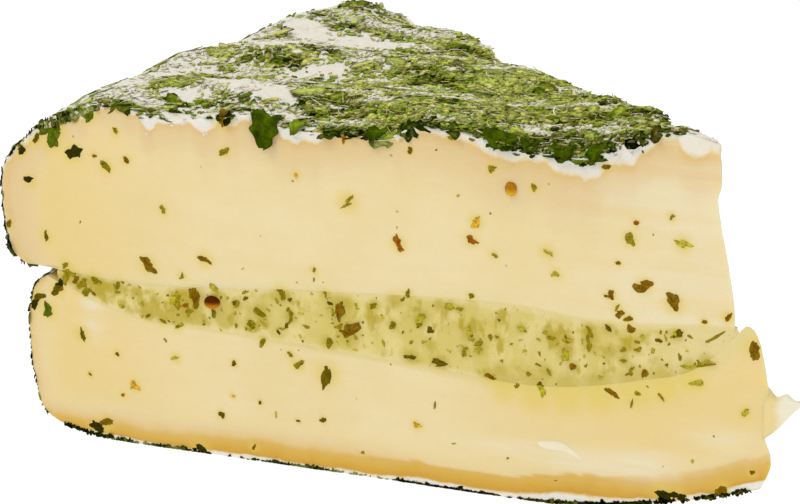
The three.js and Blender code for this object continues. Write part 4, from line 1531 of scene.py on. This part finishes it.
def scattered_specks():
    """Small specks over both cuts, thick in the herb cream and rare in the paste"""
    count = FINE_SPECKS
    sides = rng.integers(0, 2, count).astype(float)
    heights = rng.uniform(0.05, 0.95, count)
    in_cream = rng.uniform(0, 1, count) < 0.82
    in_upper = rng.uniform(0, 1, count) < 0.5
    u = rng.uniform(0.03, 0.97, count)
    by_body = [surface(u, sides, heights) for surface in (upper_surface, lower_surface, cream_surface)]
    kind = np.where(in_cream, 2, np.where(in_upper, 0, 1))
    spots = np.choose(kind[:, None], by_body)
    normals = np.where(sides[:, None] > 0.5, FAR_OUT, NEAR_OUT)
    lengths = np.clip(rng.lognormal(-0.25, 0.4, count), 0.35, 2.2) * np.where(in_cream, 1.0, 0.6)
    lengths = np.where(sides > 0.5, lengths * 1.6, lengths)
    turns = rng.uniform(0, 2 * math.pi, count)
    points, faces = shreds(spots, normals, lengths, lengths * rng.uniform(0.4, 0.8, count), turns)
    palette = [YELLOW_GREEN, CUT_OLIVE, CUT_GREEN, BROWN, CUT_DARK]
    colours = shred_colours(tints(palette, [0.4, 0.3, 0.12, 0.12, 0.06], count, 1))
    herb_piece("fine_specks", points, faces, SPECK_FINISH, colours)


def stain_round(spots, sizes):
    """Mark each body's points near a herb: a bell round each spot, a little wider than the herb"""
    for body, points, _ in BODIES:
        stain = np.zeros(len(points))
        for spot, size in zip(spots, sizes):
            gap = np.linalg.norm(points - spot, axis=1)
            stain = np.maximum(stain, np.exp(-((gap / (0.28 + 0.5 * size)) ** 2)))
        body.data.attributes.new("stain", "FLOAT", "POINT").data.foreach_set("value", stain)


# Soft olive blots in the herb cream and yellow smears in the paste under it: pixel across and down,
# and pixels wide
CREAM_BLOTS = [
    (72, 276, 22), (66, 268, 12), (100, 283, 14), (182, 300, 20), (190, 316, 12), (283, 296, 14),
    (262, 318, 14), (345, 304, 16), (352, 330, 20), (395, 300, 18), (422, 318, 16), (440, 305, 12),
    (470, 335, 16), (500, 372, 20), (545, 372, 18), (565, 350, 18), (590, 338, 16), (610, 352, 14),
    (630, 345, 16), (430, 345, 12), (505, 386, 34), (535, 391, 44), (567, 393, 46), (600, 392, 46),
    (634, 389, 44), (664, 384, 40), (690, 379, 30),
]


def cream_blots(tree):
    """Where the soft blots lie on the cut, and how wide they are"""
    spots, _ = in_view([blot[:2] for blot in CREAM_BLOTS], tree)
    return spots, np.array([blot[2] for blot in CREAM_BLOTS]) / PIXELS_PER_MM


cut_faces = near_cut()
stain_round(*(np.concatenate(pair) for pair in zip(face_herbs(cut_faces), cream_blots(cut_faces))))
face_stalks(cut_faces)
mustard_seeds(cut_faces)
scattered_specks()


# Loose paste on the cut

# Pixels along each curl, and half widths in millimetres along it
PASTE_CURLS = [
    (
        [(533, 442), (547, 445), (561, 447), (573, 453), (582, 461), (588, 470)],
        [0.2, 0.75, 0.8, 0.6, 0.4, 0.15],
    ),
]
CURL_PROUD = 0.34
CURL_SUNK = 0.16
CURL_STATIONS = 28
CURL_SIDES = 12
CURL_THINNESS = 0.6


def paste_curl(pixels, half_widths, tree):
    """Paste pushed up by the knife: a flattened round section carried along a path on the cut, with
    closed ends"""
    knots, normals = in_view(pixels, tree)
    out = unit(normals.mean(axis=0))
    share = np.linspace(0, 1, CURL_STATIONS)
    spine = outline(knots)(share)
    half = np.interp(share, np.linspace(0, 1, len(half_widths)), half_widths)
    side = unit(np.cross(out, np.gradient(spine, axis=0)))
    turn = np.arange(CURL_SIDES) * 2 * math.pi / CURL_SIDES
    ring = side[:, None] * (half[:, None] * np.cos(turn))[..., None]
    rise = out * (CURL_PROUD * (half / max(half_widths))[:, None] * np.sin(turn))[..., None]
    points = spine[:, None] + ring + rise - out * CURL_SUNK
    points = np.vstack([points.reshape(-1, 3), spine[[0, -1]] - out * CURL_SUNK])
    return points, ring_faces(CURL_STATIONS, CURL_SIDES)


def paste_curls(tree):
    """The curls of paste as one piece"""
    curls = [paste_curl(pixels, half_widths, tree) for pixels, half_widths in PASTE_CURLS]
    points, faces = joined(curls)
    values = {"thin": np.full(len(points), CURL_THINNESS)}
    put_mesh("paste_curls", points, faces, PALE_PASTE, values)


TORN_ROOT = -8.0
TORN_LENGTH = 5.1
TORN_TOP = 22.2
TORN_FOOT = 14.6
TORN_STEPS = (16, 10, 1)


def torn_flake():
    """A torn flake of paste at the lower tip: a thin sheet whose upper edge runs level and whose lower edge
    sweeps up to meet it in a point, bowed a little, thinner towards the point"""
    lattice, faces = box_skin(TORN_STEPS)
    a, b, c = lattice[:, 0], lattice[:, 1], lattice[:, 2] - 0.5
    top = TORN_TOP - 3.4 * a + 1.8 * a * a + 0.7 * bell(a, 0.6, 0.13) - 0.4 * bell(a, 0.3, 0.12)
    foot = TORN_FOOT + 3.4 * a + 2.5 * a * a
    along = TORN_ROOT - TORN_LENGTH * a - 0.5 * a * np.sin(2 * math.pi * b)
    thickness = mix(1.8, 0.3, a**0.5)
    height = mix(foot, top, b)
    cut = lower_surface(0.02, 0.0, height / LOWER_TIP[-1][1])[:, 1] - NEAR_Y
    front = cut + 0.02 + 0.9 * smoothstep(0.2, 1.0, a)
    points = place(along, front + thickness * (0.5 - c), height)
    values = {"thin": smoothstep(0.1, 0.8, a)}
    put_mesh("torn_flake", points, faces, PALE_PASTE, values)


paste_curls(cut_faces)
torn_flake()


# Camera, floor and light

FLOOR_HALF = 3.0
ROOM_LIGHT = 0.45
# Soft boxes: name, place, aim, width and power, in metres and watts
SOFT_BOXES = [
    ("key", (-0.35, -0.45, 0.75), (0, 0, 0.02), 0.5, 2.6),
    ("fill", (0.6, -0.75, 0.4), (0, 0, 0.02), 0.7, 1.0),
    ("rim", (0.1, 0.35, 0.95), (0, 0, 0.03), 0.5, 3.4),
]


def make_camera():
    """The photograph's camera"""
    data = bpy.data.cameras.new("camera")
    data.sensor_width = SENSOR_WIDTH
    data.lens = FOCAL_PIXELS * SENSOR_WIDTH / PHOTO_WIDTH
    data.clip_start = 0.01
    data.clip_end = 20.0
    camera = bpy.data.objects.new("camera", data)
    _, _, back = camera_axes()
    camera.location = (CAMERA_AIM + back * CAMERA_DISTANCE) * MM
    camera.rotation_mode = "QUATERNION"
    camera.rotation_quaternion = Vector(-back).to_track_quat("-Z", "Y")
    bpy.context.collection.objects.link(camera)
    bpy.context.scene.camera = camera


def make_floor():
    """A white table lit from below, so that it shows hardly any shadow"""
    material, _, _ = new_material(
        "lit white table", Base_Color=linear(TABLE), Roughness=0.9,
        Emission_Color=(1, 1, 1, 1), Emission_Strength=TABLE_GLOW,
    )
    mesh = bpy.data.meshes.new("floor")
    corners = [(x * FLOOR_HALF, y * FLOOR_HALF, 0) for x, y in ((-1, -1), (1, -1), (1, 1), (-1, 1))]
    mesh.from_pydata(corners, [], [(0, 1, 2, 3)])
    mesh.materials.append(material)
    floor = bpy.data.objects.new("floor", mesh)
    bpy.context.collection.objects.link(floor)


def area_light(name, location, aim, size, power):
    """A square lamp at a place, turned towards its aim"""
    data = bpy.data.lights.new(name, "AREA")
    data.size = size
    data.energy = power
    light = bpy.data.objects.new(name, data)
    light.location = location
    light.rotation_mode = "QUATERNION"
    light.rotation_quaternion = (Vector(aim) - Vector(location)).to_track_quat("-Z", "Y")
    bpy.context.collection.objects.link(light)


def make_light():
    """An even white room with three soft boxes"""
    world = bpy.data.worlds.new("studio")
    bpy.context.scene.world = world
    world.use_nodes = True
    room = world.node_tree.nodes["Background"]
    room.inputs["Color"].default_value = (1, 1, 1, 1)
    room.inputs["Strength"].default_value = ROOM_LIGHT
    for box in SOFT_BOXES:
        area_light(*box)
    bpy.context.scene.view_settings.view_transform = "Standard"


make_camera()
make_floor()
make_light()
